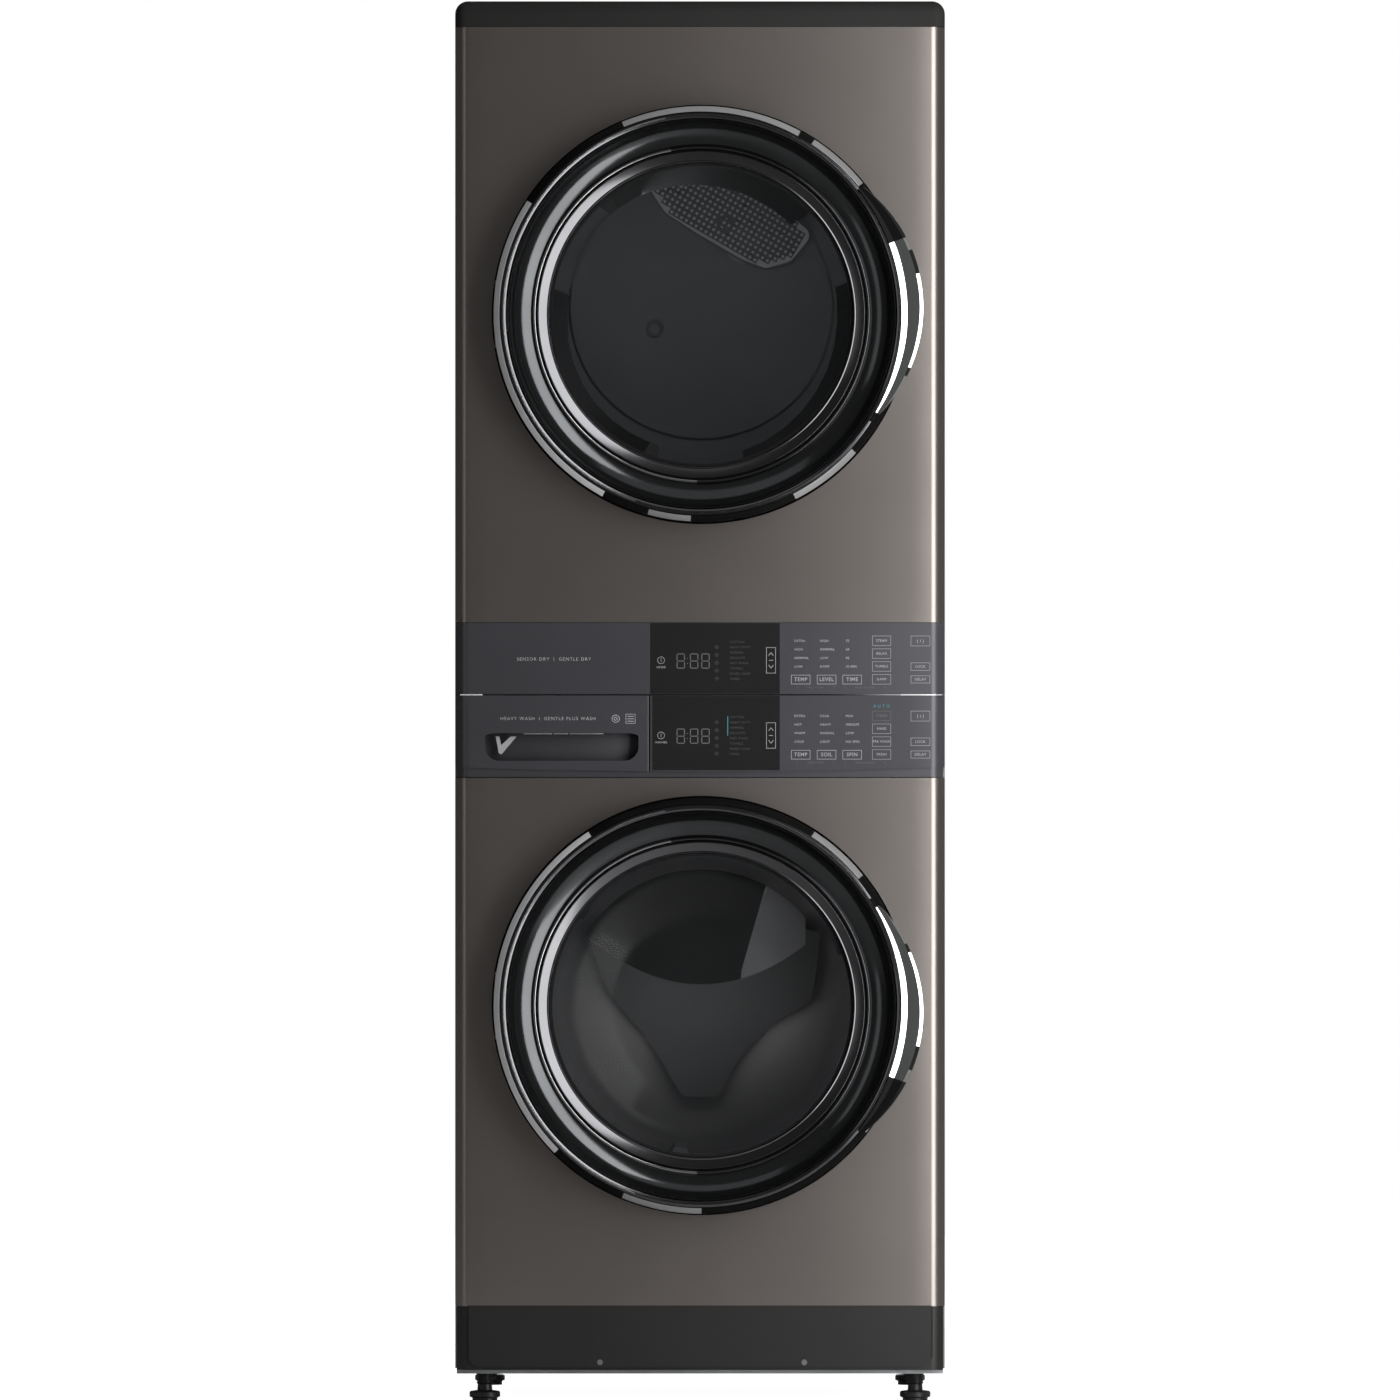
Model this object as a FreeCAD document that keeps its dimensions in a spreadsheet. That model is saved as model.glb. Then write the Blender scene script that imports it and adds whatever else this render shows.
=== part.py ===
import FreeCAD, Part
import math
import os
import re

import Sketcher

# A full-size laundry tower: a front-loading washer below and a tumble dryer above, in one cabinet.
# Millimetres. +Z is up, the doors face -Y, +X is the viewer's right. The origin is on the floor,
# under the middle of the cabinet. Both doors hang on their left side.

V = FreeCAD.Vector

DIMS = {
    # cabinet
    "half_width": 343,
    "base_bottom": 40,
    "panel_bottom": 48,
    "kick_top": 135,
    "washer_panel_top": 875,
    "washer_console_bottom": 884,
    "seam_height": 991.5,
    "dryer_panel_bottom": 1093,
    "band_bottom": 1927,
    "cabinet_top": 1963,
    "front_face": -350,
    "side_front": -330,
    "side_back": 331.5,
    "bevel_width": 17,
    "bevel_depth": 16,
    "gauge": 1.5,
    "flange": 15,
    "corner_radius": 20,
    "console_sag": 9800,
    # doors
    "door_x": 2,
    "washer_z": 556.5,
    "dryer_z": 1524,
    "recess_radius": 293.5,
    "recess_floor": -338,
    "opening_radius": 240,
    "ring_radius": 290.5,
    "ring_inner": 277,
    "ring_gap": 3,
    "ring_depth": 58,
    "funnel_radius": 236,
    "glass_radius": 216,
    "pivot_x": -280,
    "pivot_y": -366,
    "pin_radius": 4,
    "lug_height": 22,
    "lug_offset": 36,
    "bowl_depth": 84,
    "grip_shift": 100,
    "grip_radius": 211,
    "grip_front": -400,
    "grip_back": -380,
    "strike_x": 264,
    "latch_half": 26,
    # feet
    "foot_x": 302,
    "foot_y": 290,
    "stem_radius": 12,
    "pad_radius": 21.5,
    # console and drawer
    "drawer_edge": -71,
    "pocket_left": -297,
    "pocket_right": -103,
    "pocket_floor": 908,
    "pocket_ceiling": 955,
    "tray_right": -140,
    "tray_back": -110,
    "display_left": -70,
    "display_right": 112,
    # washer inside
    "tub_radius": 300,
    "tub_back": 205,
    "tub_front": -262,
    "collar_radius": 229,
    "drum_front": -240,
    "drum_back": 150,
    "drum_mouth": 220,
    "drum_radius": 263.5,
    "shaft_radius": 20,
    "shelf_height": 975,
    "spring_x": 262,
    "spring_foot": 750,
    "damper_x": 150,
    "rod_radius": 8,
    "rod_top": 272,
    "fit": 0.05,
    # dryer inside
    "tumbler_radius": 320,
    "tumbler_front": -280,
    "tumbler_back": 250,
    "bulkhead_rim": 326,
    "disc_radius": 188,
    "disc_lift": 24,
    "disc_front": 256,
    "filter_front": -307,
    "filter_half": 88,
    "filter_bottom": 1120,
    "filter_top": 1290,
    "motor_x": 120,
    "motor_z": 1092,
    "motor_shaft_radius": 8,
    "pulley_radius": 16,
    "belt_front": -25,
    "belt_width": 14,
    "roller_radius": 38,
    "exhaust_x": 0,
    "exhaust_z": 1092,
    "exhaust_radius": 50.8,
    "exhaust_end": 400,
    # services at the back
    "service_height": 905,
    "cold_x": 150,
    "hot_x": 230,
    "drain_x": -250,
    "inlet_radius": 13,
    "spigot_radius": 12,
}

doc = FreeCAD.newDocument("laundry_tower")
sheet = doc.addObject("Spreadsheet::Sheet", "Dims")
for row, (alias, size) in enumerate(DIMS.items(), 1):
    sheet.set(f"A{row}", alias)
    sheet.set(f"B{row}", str(size))
    sheet.setAlias(f"B{row}", alias)
doc.recompute()

nodes = []


def formula(text):
    """Point the names of driving dimensions at their cells."""
    return re.sub(
        r"[a-z][a-z_]+",
        lambda word: "Dims." + word.group() if word.group() in DIMS else word.group(),
        str(text),
    )


def number(text):
    """The present value of a formula, for geometry that a solver starts from."""
    return float(sheet.evalExpression(formula(text)))


def bind(obj, sizes):
    for prop, text in sizes.items():
        obj.setExpression(prop, formula(text))


def node(obj, label):
    """Name a finished sub-part and keep it for the export."""
    obj.Label = label
    nodes.append(obj)
    return obj


def place(obj, at, rotation=None):
    if rotation is not None:
        obj.Placement = FreeCAD.Placement(V(0, 0, 0), rotation)
    bind(obj, {f"Placement.Base.{axis}": text for axis, text in zip("xyz", at)})
    return obj


def box(x, y, z):
    """A box from its low and high formulas along each axis."""
    block = doc.addObject("Part::Box", "box")
    spans = {"Length": x, "Width": y, "Height": z}
    bind(block, {prop: f"({high}) - ({low})" for prop, (low, high) in spans.items()})
    return place(block, (x[0], y[0], z[0]))


ALONG = {
    "x": FreeCAD.Rotation(V(0, 1, 0), 90),
    "y": FreeCAD.Rotation(V(1, 0, 0), -90),
    "z": FreeCAD.Rotation(),
}


def rod(axis, radius, span, across):
    """A cylinder along one axis; across is its place on the two other axes."""
    cylinder = doc.addObject("Part::Cylinder", "rod")
    bind(cylinder, {"Radius": radius, "Height": f"({span[1]}) - ({span[0]})"})
    at = list(across)
    at.insert("xyz".index(axis), span[0])
    return place(cylinder, at, ALONG[axis])


def outline(body, role, points):
    """A closed straight-sided sketch whose corners are held by the sheet."""
    sketch = body.newObject("Sketcher::SketchObject", "outline")
    plane = next(f for f in body.Origin.OriginFeatures if f.Role == role)
    sketch.AttachmentSupport = (plane, [""])
    sketch.MapMode = "FlatFace"
    corners = [V(number(u), number(v), 0) for u, v in points]
    count = len(corners)
    for i in range(count):
        sketch.addGeometry(Part.LineSegment(corners[i], corners[(i + 1) % count]), False)
    for i in range(count):
        sketch.addConstraint(Sketcher.Constraint("Coincident", i, 2, (i + 1) % count, 1))
    for i, texts in enumerate(points):
        for kind, text in zip(("DistanceX", "DistanceY"), texts):
            held = sketch.addConstraint(Sketcher.Constraint(kind, -1, 1, i, 1, number(text)))
            sketch.setExpression(f"Constraints[{held}]", formula(text))
    return sketch


def turned(points, at, rotation=FreeCAD.Rotation(V(1, 0, 0), 90)):
    """A turned piece: (radius, distance forward) points round an axis that faces -Y."""
    body = doc.addObject("PartDesign::Body", "turned")
    sketch = outline(body, "XZ_Plane", points)
    spin = body.newObject("PartDesign::Revolution", "spin")
    spin.Profile = sketch
    spin.ReferenceAxis = (sketch, ["V_Axis"])
    spin.Angle = 360
    return place(body, at, rotation)


def slab(points, z):
    """An upright extrusion of an (x, y) outline between two heights."""
    body = doc.addObject("PartDesign::Body", "slab")
    sketch = outline(body, "XY_Plane", points)
    pad = body.newObject("PartDesign::Pad", "pad")
    pad.Profile = sketch
    bind(pad, {"Length": f"({z[1]}) - ({z[0]})"})
    return place(body, (0, 0, z[0]))


def plate(points, y):
    """An extrusion of an (x, z) outline from front to back."""
    body = doc.addObject("PartDesign::Body", "plate")
    sketch = outline(body, "XZ_Plane", points)
    pad = body.newObject("PartDesign::Pad", "pad")
    pad.Profile = sketch
    bind(pad, {"Length": f"({y[1]}) - ({y[0]})"})
    return place(body, (0, y[1], 0))


def round_edges(body, radius, wanted):
    """Round the edges of a body's last feature that pass the test."""
    doc.recompute()
    base = body.Tip
    edges = [f"Edge{i}" for i, edge in enumerate(base.Shape.Edges, 1) if wanted(edge.BoundBox)]
    fillet = body.newObject("PartDesign::Fillet", "round")
    fillet.Base = (base, edges)
    bind(fillet, {"Radius": radius})
    return body


def joined(*pieces):
    whole = doc.addObject("Part::MultiFuse", "joined")
    whole.Shapes = list(pieces)
    return whole


def cut(base, *tools):
    piece = doc.addObject("Part::Cut", "cut")
    piece.Base = base
    piece.Tool = tools[0] if len(tools) == 1 else joined(*tools)
    return piece


def common(*pieces):
    piece = doc.addObject("Part::MultiCommon", "common")
    piece.Shapes = list(pieces)
    return piece


def together(*pieces):
    """Separate solids that share one node."""
    group = doc.addObject("Part::Compound", "together")
    group.Links = list(pieces)
    return group


def shell_outline(left, right, inset, thick):
    """Plan of a front skin between two x values, with a bevel where it reaches a cabinet side."""
    outer_y = f"front_face + {inset}"
    inner_y = f"front_face + {inset} + {thick}"
    points = []
    if left == "-half_width":
        points += [
            (f"-half_width + {inset} + {thick}", "side_front"),
            (f"-half_width + {inset}", "side_front"),
            (f"-half_width + {inset}", f"front_face + bevel_depth + {inset}"),
            (f"-half_width + bevel_width + {inset}", outer_y),
        ]
    else:
        points += [(left, inner_y), (left, outer_y)]
    if right == "half_width":
        points += [
            (f"half_width - bevel_width - {inset}", outer_y),
            (f"half_width - {inset}", f"front_face + bevel_depth + {inset}"),
            (f"half_width - {inset}", "side_front"),
            (f"half_width - {inset} - {thick}", "side_front"),
            (f"half_width - {inset} - {thick}", f"front_face + bevel_depth + {inset} + {thick} / 2"),
            (f"half_width - bevel_width - {inset} - {thick} / 2", inner_y),
        ]
    else:
        points += [(right, outer_y), (right, inner_y)]
    if left == "-half_width":
        points += [
            (f"-half_width + bevel_width + {inset} + {thick} / 2", inner_y),
            (f"-half_width + {inset} + {thick}", f"front_face + bevel_depth + {inset} + {thick} / 2"),
        ]
    return points


# ---------------------------------------------------------------- cabinet


def feet():
    """Four levelling feet: a pad, a neck and a threaded stem with ring grooves."""
    places = {
        "front_left": ("-foot_x", "-foot_y"),
        "front_right": ("foot_x", "-foot_y"),
        "rear_left": ("-foot_x", "foot_y"),
        "rear_right": ("foot_x", "foot_y"),
    }
    for corner, (x, y) in places.items():
        points = [(0, 0), ("pad_radius - 4", 0), ("pad_radius - 4", 6), ("pad_radius", 7)]
        points += [("pad_radius", 14), ("stem_radius - 2", 16), ("stem_radius - 2", 25)]
        for groove in range(3):
            low = 25 + 4 * groove
            points += [("stem_radius", low + 1), ("stem_radius", low + 3), ("stem_radius - 1", low + 4)]
        points += [("stem_radius", 38), ("stem_radius", 82), (0, 82)]
        node(turned(points, (x, y, 0), FreeCAD.Rotation()), f"leveling_foot_{corner}")


def base_frame():
    """A steel tray with four nut bosses for the feet."""
    tray = cut(
        box(("-half_width + 2", "half_width - 2"), (-322, 322), ("base_bottom", "base_bottom + 65")),
        box(("-half_width + 5", "half_width - 5"), (-319, 319), ("base_bottom + 3", "base_bottom + 66")),
    )
    corners = [(x, y) for x in ("-foot_x", "foot_x") for y in ("-foot_y", "foot_y")]
    bosses = [rod("z", "stem_radius + 8", ("base_bottom", "base_bottom + 26"), at) for at in corners]
    threads = [rod("z", "stem_radius + fit", ("base_bottom - 1", "base_bottom + 27"), at) for at in corners]
    node(cut(joined(tray, *bosses), *threads), "base_frame")


def side_panel(side, label):
    """A folded steel side with a flange at the front and at the back."""
    outer = f"{side} * half_width"
    inner = f"{side} * (half_width - gauge)"
    lip = f"{side} * (half_width - flange)"
    points = [
        (outer, "side_front"),
        (outer, "side_back"),
        (lip, "side_back"),
        (lip, "side_back - gauge"),
        (inner, "side_back - gauge"),
        (inner, "side_front + gauge"),
        (lip, "side_front + gauge"),
        (lip, "side_front"),
    ]
    node(slab(points, ("panel_bottom", "band_bottom - 0.5")), label)


def rear_panels():
    """Lower and upper steel backs, with the exhaust and service holes."""
    back = ("side_back", "side_back + gauge")
    lower = box(("-half_width", "half_width"), back, ("panel_bottom", "seam_height - 0.5"))
    through = ("side_back - 5", "side_back + 5")
    holes = [rod("y", "inlet_radius + 1.5", through, (x, "service_height")) for x in ("cold_x", "hot_x")]
    holes.append(rod("y", "spigot_radius + 0.5", through, ("drain_x", "service_height")))
    lower = cut(lower, *holes)
    upper = box(("-half_width", "half_width"), back, ("seam_height", "band_bottom - 0.5"))
    exhaust_hole = rod("y", "exhaust_radius + 0.5", through, ("exhaust_x", "exhaust_z"))
    node(together(lower, cut(upper, exhaust_hole)), "rear_panels")


def top_panel():
    """A moulded top with rounded upper corners, a rounded front edge and skirts all round."""
    points = [("-half_width", "band_bottom"), ("half_width", "band_bottom")]
    points += [("half_width", "cabinet_top"), ("-half_width", "cabinet_top")]
    body = plate(points, ("front_face", "side_back + gauge"))
    crown_height = number("cabinet_top - corner_radius - 1")
    front = number("front_face + 1")
    round_edges(body, "corner_radius", lambda b: b.ZMin > crown_height and b.YMin < front < b.YMax)
    round_edges(body, 12, lambda b: b.ZMin > crown_height and b.YMax < front)
    hollow = box(
        ("-half_width + 2.5", "half_width - 2.5"),
        ("front_face + 2.5", "side_back - 1"),
        ("band_bottom - 1", "cabinet_top - 22"),
    )
    crown = box(
        ("-half_width + 24", "half_width - 24"),
        ("front_face + 24", "side_back - 24"),
        ("cabinet_top - 23", "cabinet_top - 2.5"),
    )
    node(cut(body, hollow, crown), "top_panel")


def recess(centre_z):
    """The dish round a door opening, behind the front skin."""
    points = [
        ("recess_radius", 12),
        ("recess_radius", 0),
        ("opening_radius", 0),
        ("opening_radius", -1.5),
        ("recess_radius + 1.5", -1.5),
        ("recess_radius + 1.5", 12),
    ]
    return turned(points, ("door_x", "recess_floor", centre_z))


def front_skin(low, high, centre_z):
    """A bevelled front skin with its door recess and the slot for the door strike."""
    skin = slab(shell_outline("-half_width", "half_width", 0, "gauge"), (low, high))
    hole = rod("y", "recess_radius + 0.5", ("front_face - 5", "front_face + 10"), ("door_x", centre_z))
    dished = joined(cut(skin, hole), recess(centre_z))
    slot = box(
        ("strike_x - 8", "strike_x + 8"),
        ("recess_floor - 2", "recess_floor + 4"),
        (f"{centre_z} - 16", f"{centre_z} + 16"),
    )
    return cut(dished, slot)


def front_panels():
    node(front_skin("dryer_panel_bottom", "band_bottom - 0.5", "dryer_z"), "dryer_front_panel")
    skin = front_skin("kick_top + 0.5", "washer_panel_top", "washer_z")
    lip = box(
        ("-half_width + 19", "half_width - 19"),
        ("front_face + 3", "front_face + 3 + gauge"),
        ("washer_panel_top - 8", "washer_panel_top + 16"),
    )
    web = box(
        ("-half_width + 19", "half_width - 19"),
        ("front_face + gauge", "front_face + 3 + gauge"),
        ("washer_panel_top - 8", "washer_panel_top - 6"),
    )
    node(joined(skin, lip, web), "washer_front_panel")
    toe = slab(shell_outline("-half_width", "half_width", 1, 2), ("panel_bottom", "kick_top"))
    node(toe, "toe_panel")


def consoles():
    """Two moulded control fascias; the lower one has a bowed bottom edge and a drawer beside it."""
    plan = shell_outline("-half_width", "half_width", 0, 2.5)
    dryer = slab(plan, ("seam_height + 1", "dryer_panel_bottom - 0.7"))
    window_y = ("front_face - 1", "front_face + 1.2")
    pocket = box(("display_left", "display_right"), window_y, ("seam_height + 4", "dryer_panel_bottom - 4"))
    node(cut(dryer, pocket), "dryer_console")
    washer = slab(
        shell_outline("drawer_edge + 0.6", "half_width", 0, 2.5), ("washer_console_bottom", "seam_height - 1")
    )
    lower_z = ("washer_console_bottom + 6", "seam_height - 4")
    pocket = box(("display_left + 3", "display_right"), window_y, lower_z)
    node(common(cut(washer, pocket), sag_cylinder()), "washer_console")
    glass_y = ("front_face - 0.3", "front_face + 1.1")
    upper = box(
        ("display_left + 0.3", "display_right - 0.3"),
        glass_y,
        ("seam_height + 4.3", "dryer_panel_bottom - 4.3"),
    )
    lower = box(
        ("display_left + 3.3", "display_right - 0.3"),
        glass_y,
        ("washer_console_bottom + 6.3", "seam_height - 4.3"),
    )
    node(together(upper, lower), "display_windows")


def sag_cylinder():
    """A very large cylinder whose underside gives the bowed lower edge of the console."""
    return rod("y", "console_sag", (-420, -100), (0, "washer_console_bottom + console_sag"))


def shelf():
    """The steel shelf between washer and dryer, with the stands and studs of the two drum rollers."""
    sheet_metal = box(
        ("-half_width + gauge", "half_width - gauge"), (-312, 326), ("shelf_height", "shelf_height + 3")
    )
    stands = []
    for x, z in roller_places().values():
        stands.append(rod("y", 6, (194, 236), (x, z)))
        stands.append(box((f"{x} - 16", f"{x} + 16"), (224, 236), ("shelf_height + 2", f"{z} + 14")))
    node(joined(sheet_metal, *stands), "middle_shelf")


def screws():
    """Round-headed screws: along the toe panel's foot and down the back."""
    toe = [rod("y", 4, ("front_face - 1.2", "front_face + 1"), (x, "panel_bottom + 9")) for x in (-140, 146)]
    heights = (140, 480, 860, 1120, 1480, 1880)
    back = [
        rod("y", 4, ("side_back + gauge", "side_back + gauge + 2.5"), (x, z))
        for x in ("-half_width + 8", "half_width - 8")
        for z in heights
    ]
    node(together(*toe, *back), "panel_screws")


# ---------------------------------------------------------------- doors

LUG_SIDES = (-1, 1)


def lug_span(centre_z, side, extra=0):
    """Low and high z of one hinge lug, above or below the middle of a door."""
    middle = f"{centre_z} + {side} * lug_offset"
    return (f"{middle} - lug_height / 2 - {extra}", f"{middle} + lug_height / 2 + {extra}")


def hinge_lugs(centre_z):
    """The cabinet's half of a hinge: two lugs that stand on the recess floor."""
    lugs = []
    for side in LUG_SIDES:
        span = lug_span(centre_z, side)
        bar = box(("pivot_x - 7", "pivot_x + 7"), ("pivot_y", "recess_floor"), span)
        eye = rod("z", 7, span, ("pivot_x", "pivot_y"))
        hole = rod("z", "pin_radius + fit", lug_span(centre_z, side, 1), ("pivot_x", "pivot_y"))
        lugs.append(cut(joined(bar, eye), hole))
    return lugs


def hinge_notches(centre_z):
    """Room in a door's edge for the two lugs to swing through."""
    across = ("pivot_x - 30", "pivot_x + 11")
    along = ("pivot_y - 14", "recess_floor + 6")
    return [box(across, along, lug_span(centre_z, side, 3)) for side in LUG_SIDES]


def door_ring(centre_z, label):
    """The hollow outer ring, with two notches that let the hinge lugs swing."""
    points = [
        ("ring_radius", "ring_gap"),
        ("ring_radius", "ring_depth - 10"),
        ("ring_radius - 6.5", "ring_depth"),
        ("ring_inner", "ring_depth + 1"),
        ("ring_inner", "ring_depth - 2.5"),
        ("ring_radius - 8", "ring_depth - 3.5"),
        ("ring_radius - 3", "ring_depth - 11"),
        ("ring_radius - 3", "ring_gap"),
    ]
    ring = turned(points, ("door_x", "recess_floor", centre_z))
    node(cut(ring, *hinge_notches(centre_z)), label)


def door_funnel(centre_z, label):
    """The dished wall from the ring's lip down to the window: flat at first, then steep."""
    points = [
        ("ring_inner - 0.2", "ring_depth + 0.6"),
        ("ring_inner - 6", "ring_depth - 0.5"),
        ("ring_inner - 10", "ring_depth - 18"),
        ("ring_inner - 16", "ring_depth - 34"),
        ("funnel_radius + 10", "ring_depth - 45"),
        ("funnel_radius", "ring_depth - 49"),
        ("funnel_radius", "ring_depth - 52.5"),
        ("funnel_radius + 10.5", "ring_depth - 48"),
        ("ring_inner - 13.8", "ring_depth - 36"),
        ("ring_inner - 7.6", "ring_depth - 19"),
        ("ring_inner - 4", "ring_depth - 3.4"),
        ("ring_inner - 0.2", "ring_depth - 2.4"),
    ]
    node(turned(points, ("door_x", "recess_floor", centre_z)), label)


def door_bezel(centre_z, label):
    points = [
        ("funnel_radius - 0.2", 9),
        ("funnel_radius - 9", 12),
        ("glass_radius", 8),
        ("glass_radius - 5", 4),
        ("glass_radius - 5", 1),
        ("funnel_radius - 0.2", 1),
    ]
    node(turned(points, ("door_x", "recess_floor", centre_z)), label)


def door_liner(centre_z, plug, label):
    """The back shell of a door, with the strike that enters the latch."""
    points = [
        ("ring_radius - 3.2", "ring_gap"),
        ("ring_radius - 3.2", 5.4),
        ("funnel_radius", 5.4),
        ("funnel_radius", 0.9),
        ("glass_radius + 0.2", 0.9),
        ("glass_radius + 0.2", -4.1),
        ("glass_radius - 7", -4.1),
        *plug,
        ("funnel_radius - 1.5", -1.6),
        ("funnel_radius + 2.5", "ring_gap"),
    ]
    shell = turned(points, ("door_x", "recess_floor", centre_z))
    strike = box(
        ("strike_x - 3", "strike_x + 3"),
        ("recess_floor - 5", "recess_floor + 14"),
        (f"{centre_z} - 9", f"{centre_z} + 9"),
    )
    node(cut(joined(shell, strike), *hinge_notches(centre_z)), label)


def door_handle(centre_z, tilt, label):
    """A crescent grip that stands out past the ring; tilt raises or lowers its middle."""
    middle = ("door_x + grip_shift", f"{centre_z} + {tilt}")
    disc = rod("y", "grip_radius", ("grip_front", "grip_back"), middle)
    core = rod("y", "ring_radius", ("grip_front - 1", "grip_back + 1"), ("door_x", centre_z))
    node(cut(disc, core), label)


def door_hinge(centre_z, label):
    """The door's half of a hinge: a knuckle and its pin."""
    knuckle = box(
        ("pivot_x - 4", "pivot_x + 12"),
        ("pivot_y - 7", "recess_floor - 5.5"),
        (f"{centre_z} - lug_offset + lug_height / 2 + 1", f"{centre_z} + lug_offset - lug_height / 2 - 1"),
    )
    pin = rod(
        "z",
        "pin_radius",
        (f"{centre_z} - lug_offset - lug_height / 2", f"{centre_z} + lug_offset + lug_height / 2"),
        ("pivot_x", "pivot_y"),
    )
    node(joined(knuckle, pin), label)


def door_glass(centre_z):
    """The dryer's flat window, or the washer's bowl that pushes the load away from the seal."""
    if centre_z == "dryer_z":
        points = [(0, 0.9), ("glass_radius", 0.9), ("glass_radius", -4), (0, -4)]
    else:
        points = [
            (0, "-bowl_depth"),
            ("glass_radius - 76", "6 - bowl_depth"),
            ("glass_radius - 28", "28 - bowl_depth"),
            ("glass_radius - 17", 0.9),
            ("glass_radius", 0.9),
            ("glass_radius", -4),
            ("glass_radius - 10.5", -4),
            ("glass_radius - 22", "24 - bowl_depth"),
            ("glass_radius - 72", "-bowl_depth"),
            (0, "-bowl_depth - 6"),
        ]
    return turned(points, ("door_x", "recess_floor", centre_z))


def doors():
    plugs = {
        "dryer": [("glass_radius - 7", -28), ("glass_radius + 6", -28)],
        "washer": [("glass_radius - 7", -8), ("glass_radius + 12", -8)],
    }
    for machine, tilt in (("dryer", 9), ("washer", -9)):
        centre_z = f"{machine}_z"
        door_ring(centre_z, f"{machine}_door_ring")
        door_funnel(centre_z, f"{machine}_door_funnel")
        door_bezel(centre_z, f"{machine}_door_bezel")
        door_liner(centre_z, plugs[machine], f"{machine}_door_liner")
        door_handle(centre_z, tilt, f"{machine}_door_handle")
        door_hinge(centre_z, f"{machine}_door_hinge")
        node(door_glass(centre_z), f"{machine}_door_glass")
    latches = []
    for centre_z in ("dryer_z", "washer_z"):
        case = box(
            ("strike_x - 14", "strike_x + 14"),
            ("recess_floor + gauge", "recess_floor + 26"),
            (f"{centre_z} - latch_half", f"{centre_z} + latch_half"),
        )
        mouth = box(
            ("strike_x - 8", "strike_x + 8"),
            ("recess_floor", "recess_floor + 20"),
            (f"{centre_z} - 14", f"{centre_z} + 14"),
        )
        latches.append(cut(case, mouth))
    node(together(*hinge_lugs("dryer_z"), *hinge_lugs("washer_z"), *latches), "door_hardware")


# ---------------------------------------------------------------- washer inside


def at_washer(y=0):
    return ("door_x", y, "washer_z")


def tub():
    """The outer tub with its collar, bearing hub, spring ears and damper feet."""
    points = [
        ("shaft_radius + fit", "-tub_back"),
        (50, "-tub_back"),
        (50, "37 - tub_back"),
        ("tub_radius", "37 - tub_back"),
        ("tub_radius", "-tub_front"),
        ("collar_radius + 2.8", "4 - tub_front"),
        ("collar_radius + 2.8", "26 - tub_front"),
        ("collar_radius", "26 - tub_front"),
        ("collar_radius", "-4 - tub_front"),
        ("tub_radius - 4", "-8 - tub_front"),
        ("tub_radius - 4", "43 - tub_back"),
        ("shaft_radius + fit", "43 - tub_back"),
    ]
    drumlike = turned(points, at_washer())
    keep_out = rod("y", "tub_radius - 2", (-250, 160), ("door_x", "washer_z"))
    ears = []
    for side in (-1, 1):
        spring = f"{side} * spring_x + door_x"
        damper = f"{side} * damper_x + door_x"
        inward = -16 * side
        ears.append(
            box(
                (f"{spring} - 16 + {min(inward, 0)}", f"{spring} + 16 + {max(inward, 0)}"),
                (-22, 22),
                ("spring_foot - 14", "spring_foot"),
            )
        )
        ears.append(box((f"{damper} - 14", f"{damper} + 14"), (-14, 14), ("rod_top", "rod_top + 38")))
    node(joined(drumlike, cut(joined(*ears), keep_out)), "washer_tub")
    ring = turned([(245, 267), (292, 267), (292, 298), (245, 298)], at_washer())
    gap = box((-400, 400), (-320, -200), ("washer_z - 60", "washer_z + 60"))
    node(cut(ring, gap), "counterweights")


def washer_drum():
    points = [
        (0, "-drum_back"),
        ("drum_radius", "-drum_back"),
        ("drum_radius", "-drum_front"),
        ("drum_mouth", "8 - drum_front"),
        ("drum_mouth", "5.5 - drum_front"),
        ("drum_radius - 2", "-2.4 - drum_front"),
        ("drum_radius - 2", "2 - drum_back"),
        (0, "2 - drum_back"),
    ]
    node(turned(points, at_washer()), "washer_drum")
    lifters = []
    for turn in range(3):
        body = doc.addObject("PartDesign::Body", "lifter")
        sketch = outline(
            body, "XZ_Plane", [(-34, "2.6 - drum_radius"), (34, "2.6 - drum_radius"), (9, -205), (-9, -205)]
        )
        pad = body.newObject("PartDesign::Pad", "pad")
        pad.Profile = sketch
        pad.Length = 340
        spin = FreeCAD.Rotation(V(0, 1, 0), 120 * turn + 8)
        place(body, at_washer(125), spin)
        lifters.append(body)
    inside = rod("y", "drum_radius - 2.4", ("drum_front + 4", "drum_back - 3"), ("door_x", "washer_z"))
    node(common(together(*lifters), inside), "washer_drum_lifters")
    spider = [rod("y", "shaft_radius", ("drum_back", "drum_back + 72"), ("door_x", "washer_z"))]
    spider.append(rod("y", 60, ("drum_back", "drum_back + 9"), ("door_x", "washer_z")))
    for turn in range(3):
        arm = doc.addObject("Part::Box", "arm")
        bind(arm, {"Length": 28, "Width": 9, "Height": "drum_radius - 28.5"})
        spin = FreeCAD.Rotation(V(0, 1, 0), 120 * turn)
        corner = spin.multVec(V(-14, 0, 0))
        place(arm, (f"door_x + {corner.x:.4f}", "drum_back", f"washer_z + {corner.z:.4f}"), spin)
        spider.append(arm)
    rotor = [
        ("shaft_radius", -212),
        (147, -212),
        (147, -176),
        (142, -176),
        (142, -208),
        ("shaft_radius", -208),
    ]
    node(joined(*spider, turned(rotor, at_washer())), "washer_drum_shaft")
    node(turned([(50, -180), (138, -180), (138, -200), (50, -200)], at_washer()), "washer_motor_stator")


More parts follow.
